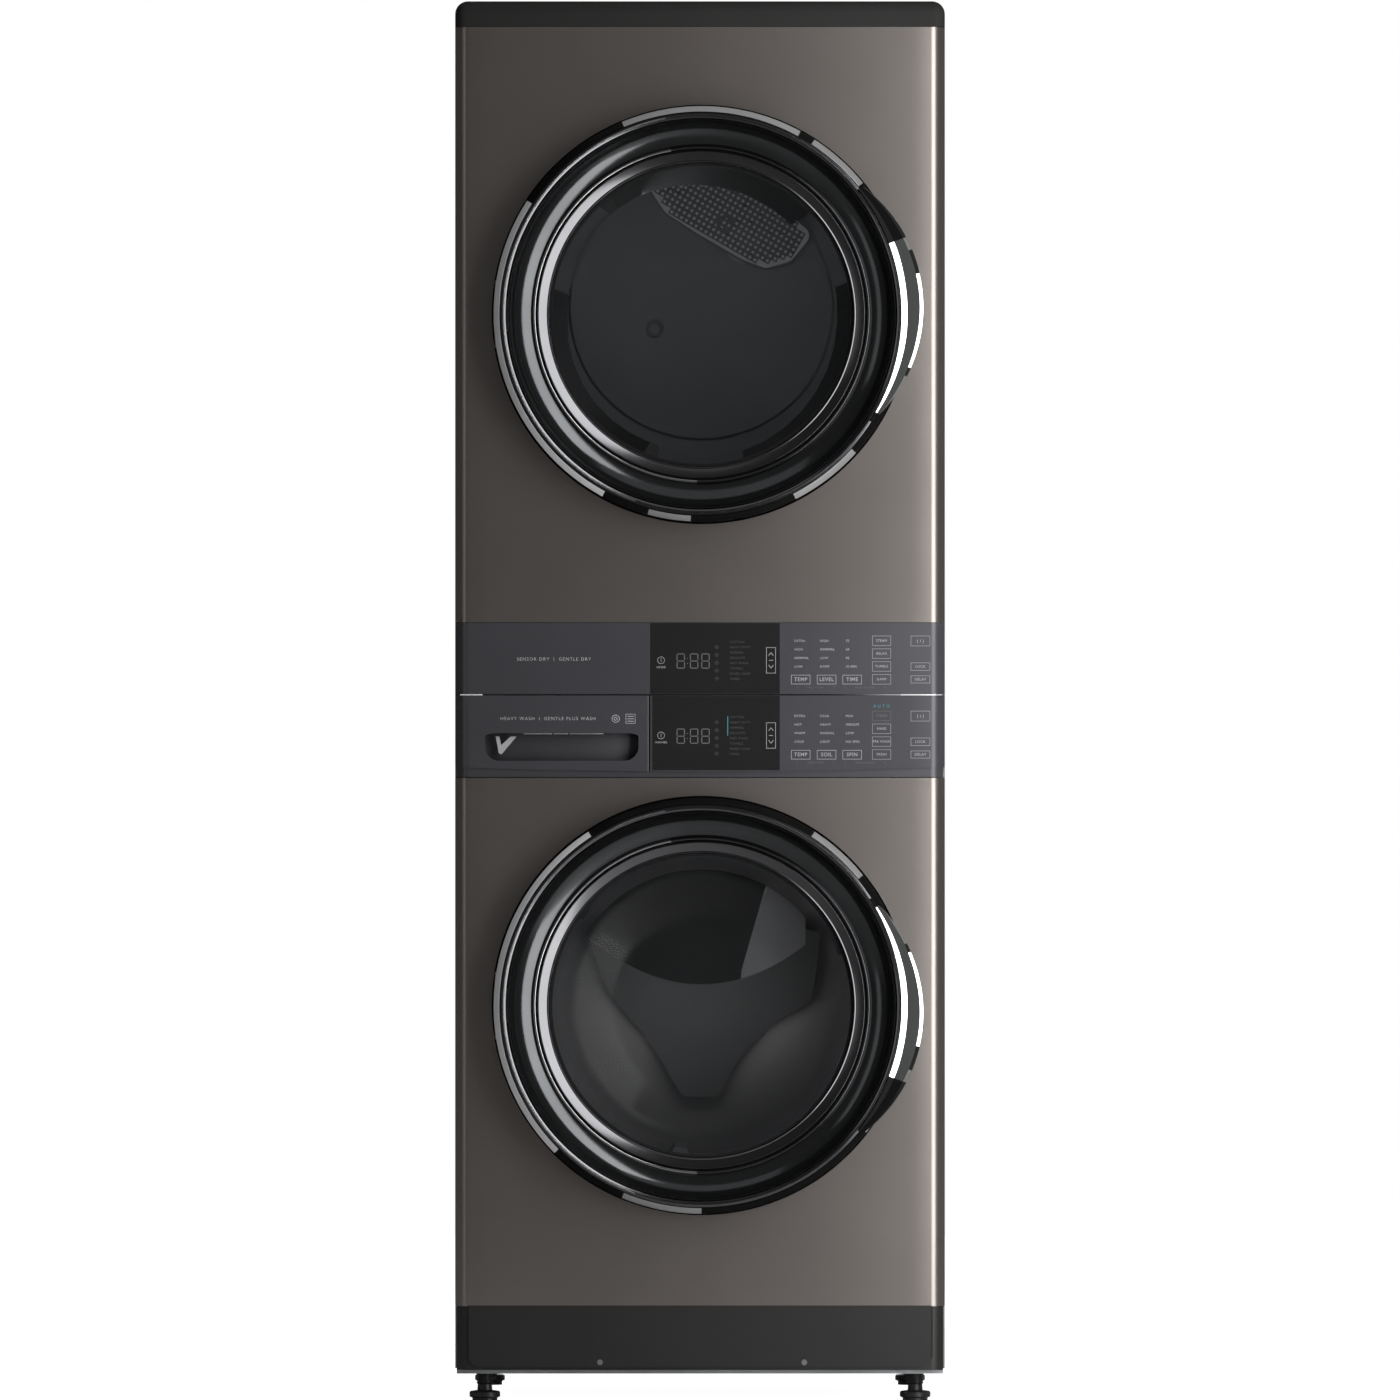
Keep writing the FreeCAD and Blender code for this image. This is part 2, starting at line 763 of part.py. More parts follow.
def gasket():
    """The rubber bellows between the front panel's opening and the tub's collar."""
    points = [
        ("opening_radius - 0.3", -2),
        ("opening_radius - 3.5", -2),
        ("opening_radius - 3.5", -13),
        (212.5, -13),
        (212.5, -17),
        (232, -19),
        (232, -66),
        ("opening_radius - 3.5", -66),
        ("opening_radius - 3.5", -20),
        ("opening_radius - 0.3", -20),
    ]
    node(turned(points, ("door_x", "recess_floor", "washer_z")), "door_gasket")


def suspension():
    """Two hanging coil springs, and two upright friction dampers."""
    coils = []
    rods = []
    cylinders = []
    for side in (-1, 1):
        helix = doc.addObject("Part::Helix", "helix")
        bind(helix, {"Radius": 13, "Pitch": 20, "Height": "shelf_height - spring_foot - 5"})
        place(helix, (f"{side} * spring_x + door_x", 0, "spring_foot + 2.5"))
        wire = doc.addObject("Part::Circle", "wire")
        bind(wire, {"Radius": 2.2})
        place(
            wire,
            (f"{side} * spring_x + door_x + 13", 0, "spring_foot + 2.5"),
            FreeCAD.Rotation(V(1, 0, 0), 90),
        )
        coil = doc.addObject("Part::Sweep", "coil")
        coil.Sections = [wire]
        coil.Spine = (helix, ["Edge1"])
        coil.Solid = True
        coil.Frenet = True
        coils.append(coil)
        across = (f"{side} * damper_x + door_x", 0)
        rods.append(rod("z", "rod_radius", ("rod_top - 162", "rod_top"), across))
        cylinder = rod("z", "rod_radius + 7", ("base_bottom + 3", "rod_top - 67"), across)
        bore = rod("z", "rod_radius + fit", ("rod_top - 184", "rod_top - 66"), across)
        cylinders.append(cut(cylinder, bore))
    node(together(*coils), "tub_springs")
    node(together(*rods), "damper_rods")
    node(together(*cylinders), "damper_cylinders")


def water():
    """Detergent drawer in its housing, the inlet valves, and the drain pump."""
    plan = shell_outline("-half_width", "drawer_edge - 0.6", 0, 2.5)
    front = slab(plan, ("washer_console_bottom", "seam_height - 1"))
    pocket_back = box(
        ("pocket_left - 3", "pocket_right + 3"),
        ("front_face + 2.4", "front_face + 22"),
        ("pocket_floor - 3", "pocket_ceiling + 3"),
    )
    pocket_hole = box(
        ("pocket_left", "pocket_right"),
        ("front_face - 2", "front_face + 20"),
        ("pocket_floor", "pocket_ceiling"),
    )
    tray_top = ("pocket_floor - 5", "pocket_ceiling")
    trough = box(("pocket_left - 3", "tray_right"), ("front_face + 21", "tray_back"), tray_top)
    cups = [
        box(x, ("front_face + 24", "tray_back - 3"), ("pocket_floor - 2", "pocket_ceiling + 1"))
        for x in (("pocket_left", "pocket_left + 75"), ("pocket_left + 78", "tray_right - 3"))
    ]
    skin = common(joined(front, pocket_back), sag_cylinder())
    node(cut(joined(skin, trough), pocket_hole, *cups), "detergent_drawer")
    case = box(
        ("pocket_left - 9", "tray_right + 6"),
        ("side_front + 4", "tray_back + 10"),
        ("pocket_floor - 9", "pocket_ceiling + 15"),
    )
    inside = box(
        ("pocket_left - 5", "tray_right + 2"),
        ("side_front + 3", "tray_back + 6"),
        ("pocket_floor - 6", "pocket_ceiling + 11"),
    )
    node(cut(case, inside), "dispenser_housing")
    valves = []
    for x in ("cold_x", "hot_x"):
        body = box(
            (f"{x} - 20", f"{x} + 20"), (270, "side_back - 5"), ("service_height - 20", "service_height + 20")
        )
        thread = rod("y", "inlet_radius", ("side_back - 6", "side_back + 24"), (x, "service_height"))
        valves.append(joined(body, thread))
    pump = joined(
        rod("y", 38, (-290, -190), (215, 105)),
        box((180, 250), (-270, -200), ("base_bottom + 3", 100)),
    )
    node(pump, "drain_pump")
    drain = ("drain_x", "service_height")
    spigot = rod("y", "spigot_radius", (270, "side_back + 38"), drain)
    flange = rod("y", "spigot_radius + 5", ("side_back + gauge + 0.5", "side_back + gauge + 3.5"), drain)
    outlet = cut(joined(spigot, flange), rod("y", "spigot_radius - 3", (268, "side_back + 40"), drain))
    node(together(*valves, outlet), "water_connections")


# ---------------------------------------------------------------- dryer inside


def at_dryer(y=0):
    return ("door_x", y, "dryer_z")


def tumbler():
    """The open-ended dryer drum and its three slanted vanes."""
    outer = rod("y", "tumbler_radius", ("tumbler_front", "tumbler_back"), ("door_x", "dryer_z"))
    inner = rod("y", "tumbler_radius - 1.5", ("tumbler_front - 1", "tumbler_back + 1"), ("door_x", "dryer_z"))
    node(cut(outer, inner), "dryer_drum")
    vanes = doc.addObject("Part::Feature", "vane_lofts")
    vanes.Shape = Part.makeCompound([vane(120 * turn) for turn in range(3)])
    place(vanes, at_dryer())
    node(vanes, "dryer_drum_vanes")


VANE_STEPS = 9
VANE_FRONT_ANGLE = 10
VANE_TWIST = -80
VANE_TIP = 192
VANE_WALL = 3


def vane_loft(turn, rim, tip, half_base, half_tip, trim):
    """A ridge that winds round the drum from front to back; angles in degrees."""
    front = number("tumbler_front + 20") + trim
    back = number("tumbler_back - 20") - trim
    sections = []
    for step in range(VANE_STEPS):
        share = step / (VANE_STEPS - 1)
        middle = turn + VANE_FRONT_ANGLE + VANE_TWIST * share
        y = front + (back - front) * share
        corners = []
        for radius, swing in ((rim, -half_base), (tip, -half_tip), (tip, half_tip), (rim, half_base)):
            angle = math.radians(middle + swing)
            corners.append(V(radius * math.cos(angle), y, radius * math.sin(angle)))
        sections.append(Part.makePolygon(corners + corners[:1]))
    return Part.makeLoft(sections, True, True)


def vane(turn):
    """One moulded vane: a hollow ridge, open where it sits on the drum."""
    rim = number("tumbler_radius - 2.5")
    solid = vane_loft(turn, rim, VANE_TIP, 6.5, 2, 0)
    core = vane_loft(turn, rim + 4, VANE_TIP + VANE_WALL, 5.9, 1.1, VANE_WALL)
    return solid.cut(core)


def bulkheads():
    """The fixed front and rear walls that carry the dryer drum."""
    points = [
        ("opening_radius + 1", -1.5),
        ("opening_radius + 1", -48),
        (310, -48),
        (310, -74),
        (314, -74),
        (314, -51),
        ("bulkhead_rim", -51),
        ("bulkhead_rim", -46),
        ("opening_radius + 3", -46),
        ("opening_radius + 3", -1.5),
    ]
    front = turned(points, ("door_x", "recess_floor", "dryer_z"))
    slot = box(
        ("-filter_half - 6", "filter_half + 6"),
        ("filter_front - 3", "filter_front + 14.8"),
        ("filter_top - 30", "filter_top + 30"),
    )
    node(cut(front, slot), "dryer_front_bulkhead")
    points = [
        (0, "-disc_front - 6"),
        (310, "-disc_front - 6"),
        (310, "16 - disc_front"),
        (314, "16 - disc_front"),
        (314, "-disc_front - 6"),
        ("bulkhead_rim", "-disc_front - 6"),
        ("bulkhead_rim", "-disc_front - 10"),
        (0, "-disc_front - 10"),
    ]
    raised = ("door_x", "dryer_z + disc_lift")
    disc = rod("y", "disc_radius", ("disc_front", "disc_front + 8"), raised)
    hollow = rod("y", "disc_radius - 4", ("disc_front + 4", "disc_front + 11"), raised)
    hole_place = ("door_x + 70", "dryer_z + disc_lift + 106")
    air_hole = rod("y", 44, ("disc_front - 6", "disc_front + 14"), hole_place)
    node(cut(joined(turned(points, at_dryer()), disc), hollow, air_hole), "dryer_rear_bulkhead")
    node(air_grille(raised), "dryer_air_grille")
    heater = cut(
        box((-110, 190), (266, 326), (1540, 1760)),
        box((-106, 186), (265, 322), (1544, 1756)),
    )
    node(heater, "heater_housing")


def air_grille(centre):
    """A flat guard over the air hole, cut to the raised disc's edge, with slots for the air."""
    arc = rod("y", "disc_radius - 4", ("disc_front - 4", "disc_front"), centre)
    corners = [(-80, 150), (-50, 132), (62, 60), (110, 46), (170, 96), (170, 190), (-80, 190)]
    points = [(f"door_x + {x}", f"dryer_z + disc_lift + {z}") for x, z in corners]
    sheet_metal = common(arc, plate(points, ("disc_front - 6", "disc_front + 2")))
    vents = []
    for line in range(5):
        x = 26 + 20 * line
        z = 112 - 6 * line
        across = (f"door_x + {x}", f"door_x + {x + 9}")
        up = (f"dryer_z + disc_lift + {z}", f"dryer_z + disc_lift + {z + 30}")
        vents.append(box(across, ("disc_front - 6", "disc_front + 2"), up))
    return cut(sheet_metal, *vents)


def airway():
    """Lint filter, blower housing, blower wheel and the exhaust duct."""
    depth = ("filter_front", "filter_front + 11")
    screen = ("filter_front + 3", "filter_front + 11")
    inside = ("filter_bottom + 10", "filter_top - 14")
    frame = box(("-filter_half", "filter_half"), depth, ("filter_bottom", "filter_top"))
    window = box(("8 - filter_half", "filter_half - 8"), ("filter_front + 3", "filter_front + 17"), inside)
    mesh = [box((x, x + 2), screen, inside) for x in range(-72, 80, 18)]
    node(joined(cut(frame, window), *mesh), "lint_filter")
    chute = cut(
        box(
            ("-filter_half - 8", "filter_half + 8"),
            ("filter_front - 4", "filter_front + 14.5"),
            ("filter_bottom - 12", "filter_top - 9"),
        ),
        box(
            ("-filter_half - 4", "filter_half + 4"),
            ("filter_front - 2", "filter_front + 13"),
            ("filter_bottom - 8", "filter_top - 8"),
        ),
    )
    scroll = rod("y", 96, (-294, -214), ("motor_x", "motor_z"))
    hollow = rod("y", 92, (-289, -218), ("motor_x", "motor_z"))
    shaft_hole = rod("y", "motor_shaft_radius + 2", (-220, -210), ("motor_x", "motor_z"))
    inlet = box((60, 90), (-300, -284), (1114, 1150))
    node(cut(joined(chute, scroll), hollow, shaft_hole, inlet), "blower_housing")
    disc = rod("y", 84, (-232, -228), ("motor_x", "motor_z"))
    blades = []
    for turn in range(12):
        angle = math.radians(30 * turn)
        x = 74 * math.cos(angle)
        z = 74 * math.sin(angle)
        blades.append(rod("y", 3, (-276, -231), (f"motor_x + {x:.3f}", f"motor_z + {z:.3f}")))
    hub = rod("y", 20, (-262, -231), ("motor_x", "motor_z"))
    bore = rod("y", "motor_shaft_radius", (-290, -210), ("motor_x", "motor_z"))
    wheel = cut(joined(disc, hub, *blades), bore)
    shaft = rod("y", "motor_shaft_radius", (-262, 2), ("motor_x", "motor_z"))
    belt_span = ("belt_front - 1", "belt_front + belt_width + 1")
    pulley = rod("y", "pulley_radius", belt_span, ("motor_x", "motor_z"))
    node(together(joined(shaft, pulley), wheel), "dryer_motor_rotor")
    can = rod("y", 62, (-190, -50), ("motor_x", "motor_z"))
    stand = box(("motor_x - 50", "motor_x + 50"), (-180, -60), ("shelf_height + 3", "motor_z - 30"))
    bore = rod("y", "motor_shaft_radius + fit", (-200, -40), ("motor_x", "motor_z"))
    node(cut(joined(can, stand), bore), "dryer_motor")
    centre = ("exhaust_x", "exhaust_z")
    tube = rod("y", "exhaust_radius", (60, "exhaust_end"), centre)
    bead = rod("y", "exhaust_radius + 4", ("side_back + gauge + 1", "side_back + gauge + 5"), centre)
    inner = rod("y", "exhaust_radius - 1", (59, "exhaust_end + 1"), centre)
    node(cut(joined(tube, bead), inner), "exhaust_duct")


def belt_loop(big, big_radius, small, small_radius):
    """The face between two tangent loops round two pulleys, in the XZ plane at y = 0."""
    wires = []
    for grow in (3, 0):
        a = big_radius + grow
        b = small_radius + grow
        line = small - big
        lean = math.acos((a - b) / line.Length)
        heading = math.atan2(line.z, line.x)

        def on(centre, radius, angle):
            return centre + V(radius * math.cos(angle), 0, radius * math.sin(angle))

        one = heading + lean
        two = heading - lean
        edges = [
            Part.LineSegment(on(big, a, one), on(small, b, one)).toShape(),
            Part.Arc(on(small, b, one), on(small, b, heading), on(small, b, two)).toShape(),
            Part.LineSegment(on(small, b, two), on(big, a, two)).toShape(),
            Part.Arc(on(big, a, two), on(big, a, heading + math.pi), on(big, a, one)).toShape(),
        ]
        wires.append(Part.Wire(edges))
    return Part.Face(wires[0]).cut(Part.Face(wires[1]))


def belt():
    """The flat belt from the motor pulley round the drum."""
    big = V(number("door_x"), 0, number("dryer_z"))
    small = V(number("motor_x"), 0, number("motor_z"))
    face = belt_loop(big, number("tumbler_radius + 0.35"), small, number("pulley_radius + 0.35"))
    loop = doc.addObject("Part::Feature", "loop")
    loop.Shape = face.extrude(V(0, number("belt_width"), 0))
    place(loop, (0, "belt_front", 0))
    node(loop, "dryer_belt")


def roller_places():
    """Where the two drum rollers sit, left and right of the drum's lowest line."""
    reach = number("tumbler_radius + roller_radius + 0.35")
    lean = math.radians(38)
    height = f"dryer_z - {reach * math.cos(lean):.3f}"
    return {
        "left": (f"door_x - {reach * math.sin(lean):.3f}", height),
        "right": (f"door_x + {reach * math.sin(lean):.3f}", height),
    }


def rollers():
    """Two rollers that carry the back of the drum, each on its own stud."""
    for label, across in roller_places().items():
        wheel = rod("y", "roller_radius", (196, 220), across)
        bore = rod("y", "6 + fit", (190, 230), across)
        node(cut(wheel, bore), f"drum_roller_{label}")


feet()
base_frame()
side_panel(-1, "left_side_panel")
side_panel(1, "right_side_panel")
rear_panels()
top_panel()
front_panels()
consoles()
shelf()
screws()
doors()
tub()
washer_drum()
gasket()
suspension()
water()
tumbler()
bulkheads()
airway()
belt()
rollers()
doc.recompute()

problems = [obj.Name for obj in doc.Objects if {"Invalid", "Error"} & set(obj.State)]
problems += [obj.Label for obj in nodes if obj.Shape.isNull() or not obj.Shape.isValid()]
if problems:
    raise RuntimeError(f"these objects did not come out right: {problems}")

os.makedirs("parts", exist_ok=True)
for obj in nodes:
    obj.Shape.exportStep(f"parts/{obj.Label}.step")
print(len(nodes), "nodes")
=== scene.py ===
import math

import bmesh
import bpy
from mathutils import Matrix, Vector


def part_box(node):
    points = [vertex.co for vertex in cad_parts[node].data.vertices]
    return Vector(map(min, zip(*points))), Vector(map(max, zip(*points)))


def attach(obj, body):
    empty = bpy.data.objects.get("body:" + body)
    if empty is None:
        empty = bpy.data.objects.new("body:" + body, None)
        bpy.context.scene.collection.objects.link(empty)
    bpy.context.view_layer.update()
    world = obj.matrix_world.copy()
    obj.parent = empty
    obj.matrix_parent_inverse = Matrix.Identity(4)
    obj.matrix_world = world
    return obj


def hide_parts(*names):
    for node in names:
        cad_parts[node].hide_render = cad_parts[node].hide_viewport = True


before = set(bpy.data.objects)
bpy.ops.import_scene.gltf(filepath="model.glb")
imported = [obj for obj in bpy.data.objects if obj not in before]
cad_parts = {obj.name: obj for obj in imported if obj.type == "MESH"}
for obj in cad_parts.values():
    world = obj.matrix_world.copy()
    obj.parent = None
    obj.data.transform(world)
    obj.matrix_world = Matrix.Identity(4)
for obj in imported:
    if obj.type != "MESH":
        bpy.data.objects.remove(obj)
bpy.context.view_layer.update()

# The looks of a laundry tower: bevelled metallic fronts, dished glass doors with crescent grips and a
# control band. Lengths are in millimetres until MM turns them into metres, except on the stage, which is
# in metres. "Forward" is -Y. A profile's points are (radius, forward, corner radius) from an axis along Y.

MM = 0.001
DOOR_SEGMENTS = 240
SHARP_ANGLE = math.radians(32)


def corner_mm(node):
    low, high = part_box(node)
    return [value / MM for value in low], [value / MM for value in high]


PANEL_LOW, PANEL_HIGH = corner_mm("dryer_front_panel")
WASHER_BOTTOM = corner_mm("washer_front_panel")[0][2]
HALF_WIDTH = PANEL_HIGH[0]
FRONT = PANEL_LOW[1]
BACK_OF_SKIN = PANEL_HIGH[1]


def door_centre(machine):
    """Middle of a door in x and z, from its CAD ring, and the y of the recess floor behind it."""
    low, high = corner_mm(f"{machine}_door_ring")
    return ((low[0] + high[0]) / 2, high[1] + 3, (low[2] + high[2]) / 2)


# -------- materials


class Nodes:
    """Short calls for a material's node tree."""

    def __init__(self, name):
        self.material = bpy.data.materials.new(name)
        self.material.use_nodes = True
        self.tree = self.material.node_tree
        self.shader = self.tree.nodes["Principled BSDF"]

    def add(self, kind, **values):
        node = self.tree.nodes.new(kind)
        for key, value in values.items():
            if key in node.inputs:
                node.inputs[key].default_value = value
            else:
                setattr(node, key, value)
        return node

    def link(self, source, target):
        self.tree.links.new(source, target)

    def set(self, **values):
        for key, value in values.items():
            self.shader.inputs[key.replace("_", " ")].default_value = value

    def noise(self, scale, detail=3.0, stretch=(1, 1, 1)):
        """Noise over the object's own metres; stretch squeezes it along an axis."""
        place = self.add("ShaderNodeTexCoord")
        mapping = self.add("ShaderNodeMapping", Scale=stretch)
        self.link(place.outputs["Object"], mapping.inputs["Vector"])
        noise = self.add("ShaderNodeTexNoise", Scale=scale, Detail=detail)
        self.link(mapping.outputs["Vector"], noise.inputs["Vector"])
        return noise.outputs["Fac"]

    def cloudy(self, source, colour, spread):
        """Let a noise lighten and darken the base colour."""
        dark = [c * (1 - spread) for c in colour]
        light = [min(1.0, c * (1 + spread)) for c in colour]
        self.link(self.ramp(source, dark, light), self.shader.inputs["Base Color"])

    def ramp(self, source, dark, light, low=0.3, high=0.7):
        ramp = self.add("ShaderNodeValToRGB")
        ends = ramp.color_ramp.elements
        ends[0].position, ends[0].color = low, (*dark, 1)
        ends[1].position, ends[1].color = high, (*light, 1)
        self.link(source, ramp.inputs["Fac"])
        return ramp.outputs["Color"]

    def span(self, source, low, high):
        """Map 0..1 onto a range of numbers."""
        spread = self.add("ShaderNodeMapRange")
        spread.inputs["To Min"].default_value = low
        spread.inputs["To Max"].default_value = high
        self.link(source, spread.inputs["Value"])
        return spread.outputs["Result"]

    def bump(self, source, strength, distance):
        bump = self.add("ShaderNodeBump", Strength=strength, Distance=distance)
        self.link(source, bump.inputs["Height"])
        self.link(bump.outputs["Normal"], self.shader.inputs["Normal"])


def finish_material(name, colour, spread, rough, metallic, grain, bump, specular):
    """A paint, plastic or metal: cloudy colour, fine grain in its roughness and a slight bump."""
    nodes = Nodes(name)
    nodes.cloudy(nodes.noise(9.0, 4.0), colour, spread)
    fine = nodes.noise(grain, 2.0)
    nodes.link(nodes.span(fine, rough * 0.85, min(1.0, rough * 1.15)), nodes.shader.inputs["Roughness"])
    nodes.bump(fine, bump, 0.0002)
    nodes.set(Metallic=metallic, Specular_IOR_Level=specular)
    return nodes.material


HOLE_SHARE = 0.22


def drum_material(name, colour, pitch):
    """Stainless drum sheet with rows of punched holes drawn as dark dots of painted shade that dent the
    surface.
    """
    nodes = Nodes(name)
    place = nodes.add("ShaderNodeTexCoord")
    cells = nodes.add("ShaderNodeTexVoronoi", Scale=1 / pitch, Randomness=0.0)
    nodes.link(place.outputs["Object"], cells.inputs["Vector"])
    step = nodes.add("ShaderNodeMath", operation="GREATER_THAN")
    step.inputs[1].default_value = HOLE_SHARE
    nodes.link(cells.outputs["Distance"], step.inputs[0])
    # The holes' near-black dots are painted shade, the dim space seen through them.
    nodes.link(nodes.ramp(step.outputs[0], (0.01, 0.01, 0.01), colour), nodes.shader.inputs["Base Color"])
    brush = nodes.noise(60.0, 2.0, (1, 12, 12))
    nodes.link(nodes.span(brush, 0.25, 0.4), nodes.shader.inputs["Roughness"])
    nodes.bump(step.outputs[0], 0.4, 0.0006)
    nodes.set(Metallic=1.0)
    return nodes.material


def glass_material(name, colour, alpha, ior):
    nodes = Nodes(name)
    haze = nodes.noise(14.0, 2.0)
    nodes.cloudy(haze, colour, 0.1)
    nodes.link(nodes.span(haze, 0.015, 0.04), nodes.shader.inputs["Roughness"])
    nodes.set(Alpha=alpha, IOR=ior)
    return nodes.material


# A finish's colour, cloudiness, roughness, metallic share, grain and bump.
FINISHES = {
    "titanium": ((0.275, 0.248, 0.232), 0.03, 0.33, 0.9, 2600, 0.08),
    # Near-black: the console backing's own colour, and painted dark reflection on the toe.
    "charcoal_and_painted_shade": ((0.01, 0.01, 0.0095), 0.1, 0.5, 0, 1500, 0.1),
    # Near-black top: partly its own dark grey, partly painted dark reflection on its up-facing front edge.
    "top_black_and_shade": ((0.022, 0.0215, 0.021), 0.08, 0.75, 0, 1500, 0.1),
    "console": ((0.07, 0.069, 0.078), 0.05, 0.34, 0.3, 2000, 0.04),
    "display": ((0.016, 0.016, 0.0165), 0.05, 0.14, 0, 800, 0.01),
    # Grey used only for painted highlights: the pocket lip's dashes and the ring's grey reflections.
    "painted_glint_grey": ((0.34, 0.34, 0.345), 0.05, 0.3, 0.45, 900, 0.02),
    "chrome": ((0.62, 0.62, 0.63), 0.04, 0.08, 1, 500, 0.01),
    "dark_chrome": ((0.11, 0.11, 0.115), 0.06, 0.16, 1, 700, 0.03),
    "funnel": ((0.058, 0.06, 0.062), 0.12, 0.13, 0.9, 420, 0.22),
    "black_gloss": ((0.006, 0.006, 0.006), 0.08, 0.15, 0, 700, 0.02),
    # Pale grey used only for painted highlights: the seam's ends and the ring's palest reflections.
    "painted_glint_pale": ((0.8, 0.8, 0.81), 0.04, 0.35, 0.1, 900, 0.02),
    "grip_face": ((0.055, 0.058, 0.057), 0.05, 0.34, 0.6, 1800, 0.06),
    "liner": ((0.05, 0.05, 0.052), 0.08, 0.42, 0, 900, 0.1),
    "galvanised": ((0.42, 0.43, 0.44), 0.18, 0.42, 0.9, 120, 0.05),
    "bulkhead": ((0.2, 0.207, 0.218), 0.06, 0.6, 0, 700, 0.04),
    "grille_dark": ((0.15, 0.155, 0.165), 0.06, 0.55, 0, 700, 0.04),
    "grille_light": ((0.62, 0.63, 0.64), 0.04, 0.55, 0, 700, 0.04),
    "vane": ((0.085, 0.087, 0.09), 0.08, 0.5, 0, 700, 0.06),
    "visor": ((0.022, 0.0225, 0.023), 0.08, 0.35, 0, 700, 0.02),
    # The visor's own dark plastic made pale: painted light on its slanted facet.
    "visor_painted_lit_facet": ((0.3, 0.303, 0.315), 0.05, 0.45, 0, 700, 0.02),
    "drum_back": ((0.22, 0.223, 0.23), 0.06, 0.45, 0.2, 700, 0.03),
    "seal": ((0.1, 0.105, 0.11), 0.08, 0.55, 0, 600, 0.12),
    "rubber": ((0.018, 0.018, 0.018), 0.1, 0.7, 0, 500, 0.2),
    "white_plastic": ((0.55, 0.56, 0.57), 0.04, 0.4, 0, 900, 0.06),
    "grey_plastic": ((0.2, 0.205, 0.21), 0.06, 0.42, 0, 900, 0.08),
    "casting": ((0.05, 0.05, 0.05), 0.2, 0.75, 0.3, 300, 0.4),
    "steel": ((0.4, 0.4, 0.41), 0.08, 0.3, 1, 700, 0.08),
    "foot_black": ((0.016, 0.016, 0.016), 0.1, 0.38, 0.2, 900, 0.1),
    "print": ((0.42, 0.42, 0.43), 0.04, 0.5, 0, 900, 0.02),
    "print_mid": ((0.16, 0.16, 0.163), 0.05, 0.5, 0, 900, 0.02),
    "print_dim": ((0.055, 0.056, 0.058), 0.06, 0.5, 0, 900, 0.02),
    "print_teal": ((0.06, 0.3, 0.32), 0.06, 0.5, 0, 900, 0.02),
}
# How strongly a finish gleams: usually, and where it is duller.
USUAL_SPECULAR = 0.5
DULL = {"top_black_and_shade": 0.2, "black_gloss": 0.03}
MATERIALS = {
    name: finish_material(name, *row, DULL.get(name, USUAL_SPECULAR)) for name, row in FINISHES.items()
}
MATERIALS["window"] = glass_material("window", (0.006, 0.0065, 0.007), 0.32, 1.4)
MATERIALS["bowl"] = glass_material("bowl", (0.012, 0.013, 0.014), 0.3, 1.2)
MATERIALS["drum"] = drum_material("drum", (0.5, 0.5, 0.51), 0.011)


# -------- mesh making


def soften(points, steps=6):
    """Turn (u, v, radius) corners into a line with round corners."""
    line = []
    for i, (u, v, radius) in enumerate(points):
        if radius <= 0 or i in (0, len(points) - 1):
            line.append((u, v))
            continue
        here = Vector((u, v))
        before = (Vector(points[i - 1][:2]) - here).normalized()
        after = (Vector(points[i + 1][:2]) - here).normalized()
        half = before.angle(after) / 2
        reach = radius / math.tan(half)
        middle = here + (before + after).normalized() * (radius / math.sin(half))
        start = here + before * reach - middle
        turn = (here + after * reach - middle).angle_signed(start)
        for step in range(steps + 1):
            spoke = start.copy()
            spoke.rotate(Matrix.Rotation(turn * step / steps, 2))
            line.append(tuple(middle + spoke))
    return line


def closed(points, steps=6):
    """Soften a line that returns to its first corner, which stays sharp."""
    return soften([*points, points[0]], steps)[:-1]


def bridge(bm, one, two):
    """Faces between two closed loops of equally many vertices."""
    after = one[1:] + one[:1], two[1:] + two[:1]
    return [bm.faces.new(corners) for corners in zip(one, after[0], after[1], two)]


def add_object(name, data):
    obj = bpy.data.objects.new(name, data)
    bpy.context.scene.collection.objects.link(obj)
    return obj


def to_mesh(name, bm):
    mesh = bpy.data.meshes.new(name)
    bm.to_mesh(mesh)
    bm.free()
    return mesh


def piece(name, bm, materials, body, replaced=(), sharp=SHARP_ANGLE):
    """Turn a bmesh in millimetres into a finished object that rides on a body."""
    bmesh.ops.recalc_face_normals(bm, faces=bm.faces)
    bmesh.ops.scale(bm, vec=(MM, MM, MM), verts=bm.verts)
    for face in bm.faces:
        face.smooth = True
    for edge in bm.edges:
        if len(edge.link_faces) == 2 and edge.calc_face_angle() > sharp:
            edge.smooth = False
    mesh = to_mesh(name, bm)
    for key in materials:
        mesh.materials.append(MATERIALS[key])
    obj = add_object(name, mesh)
    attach(obj, body)
    if replaced:
        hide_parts(*replaced)
    return obj


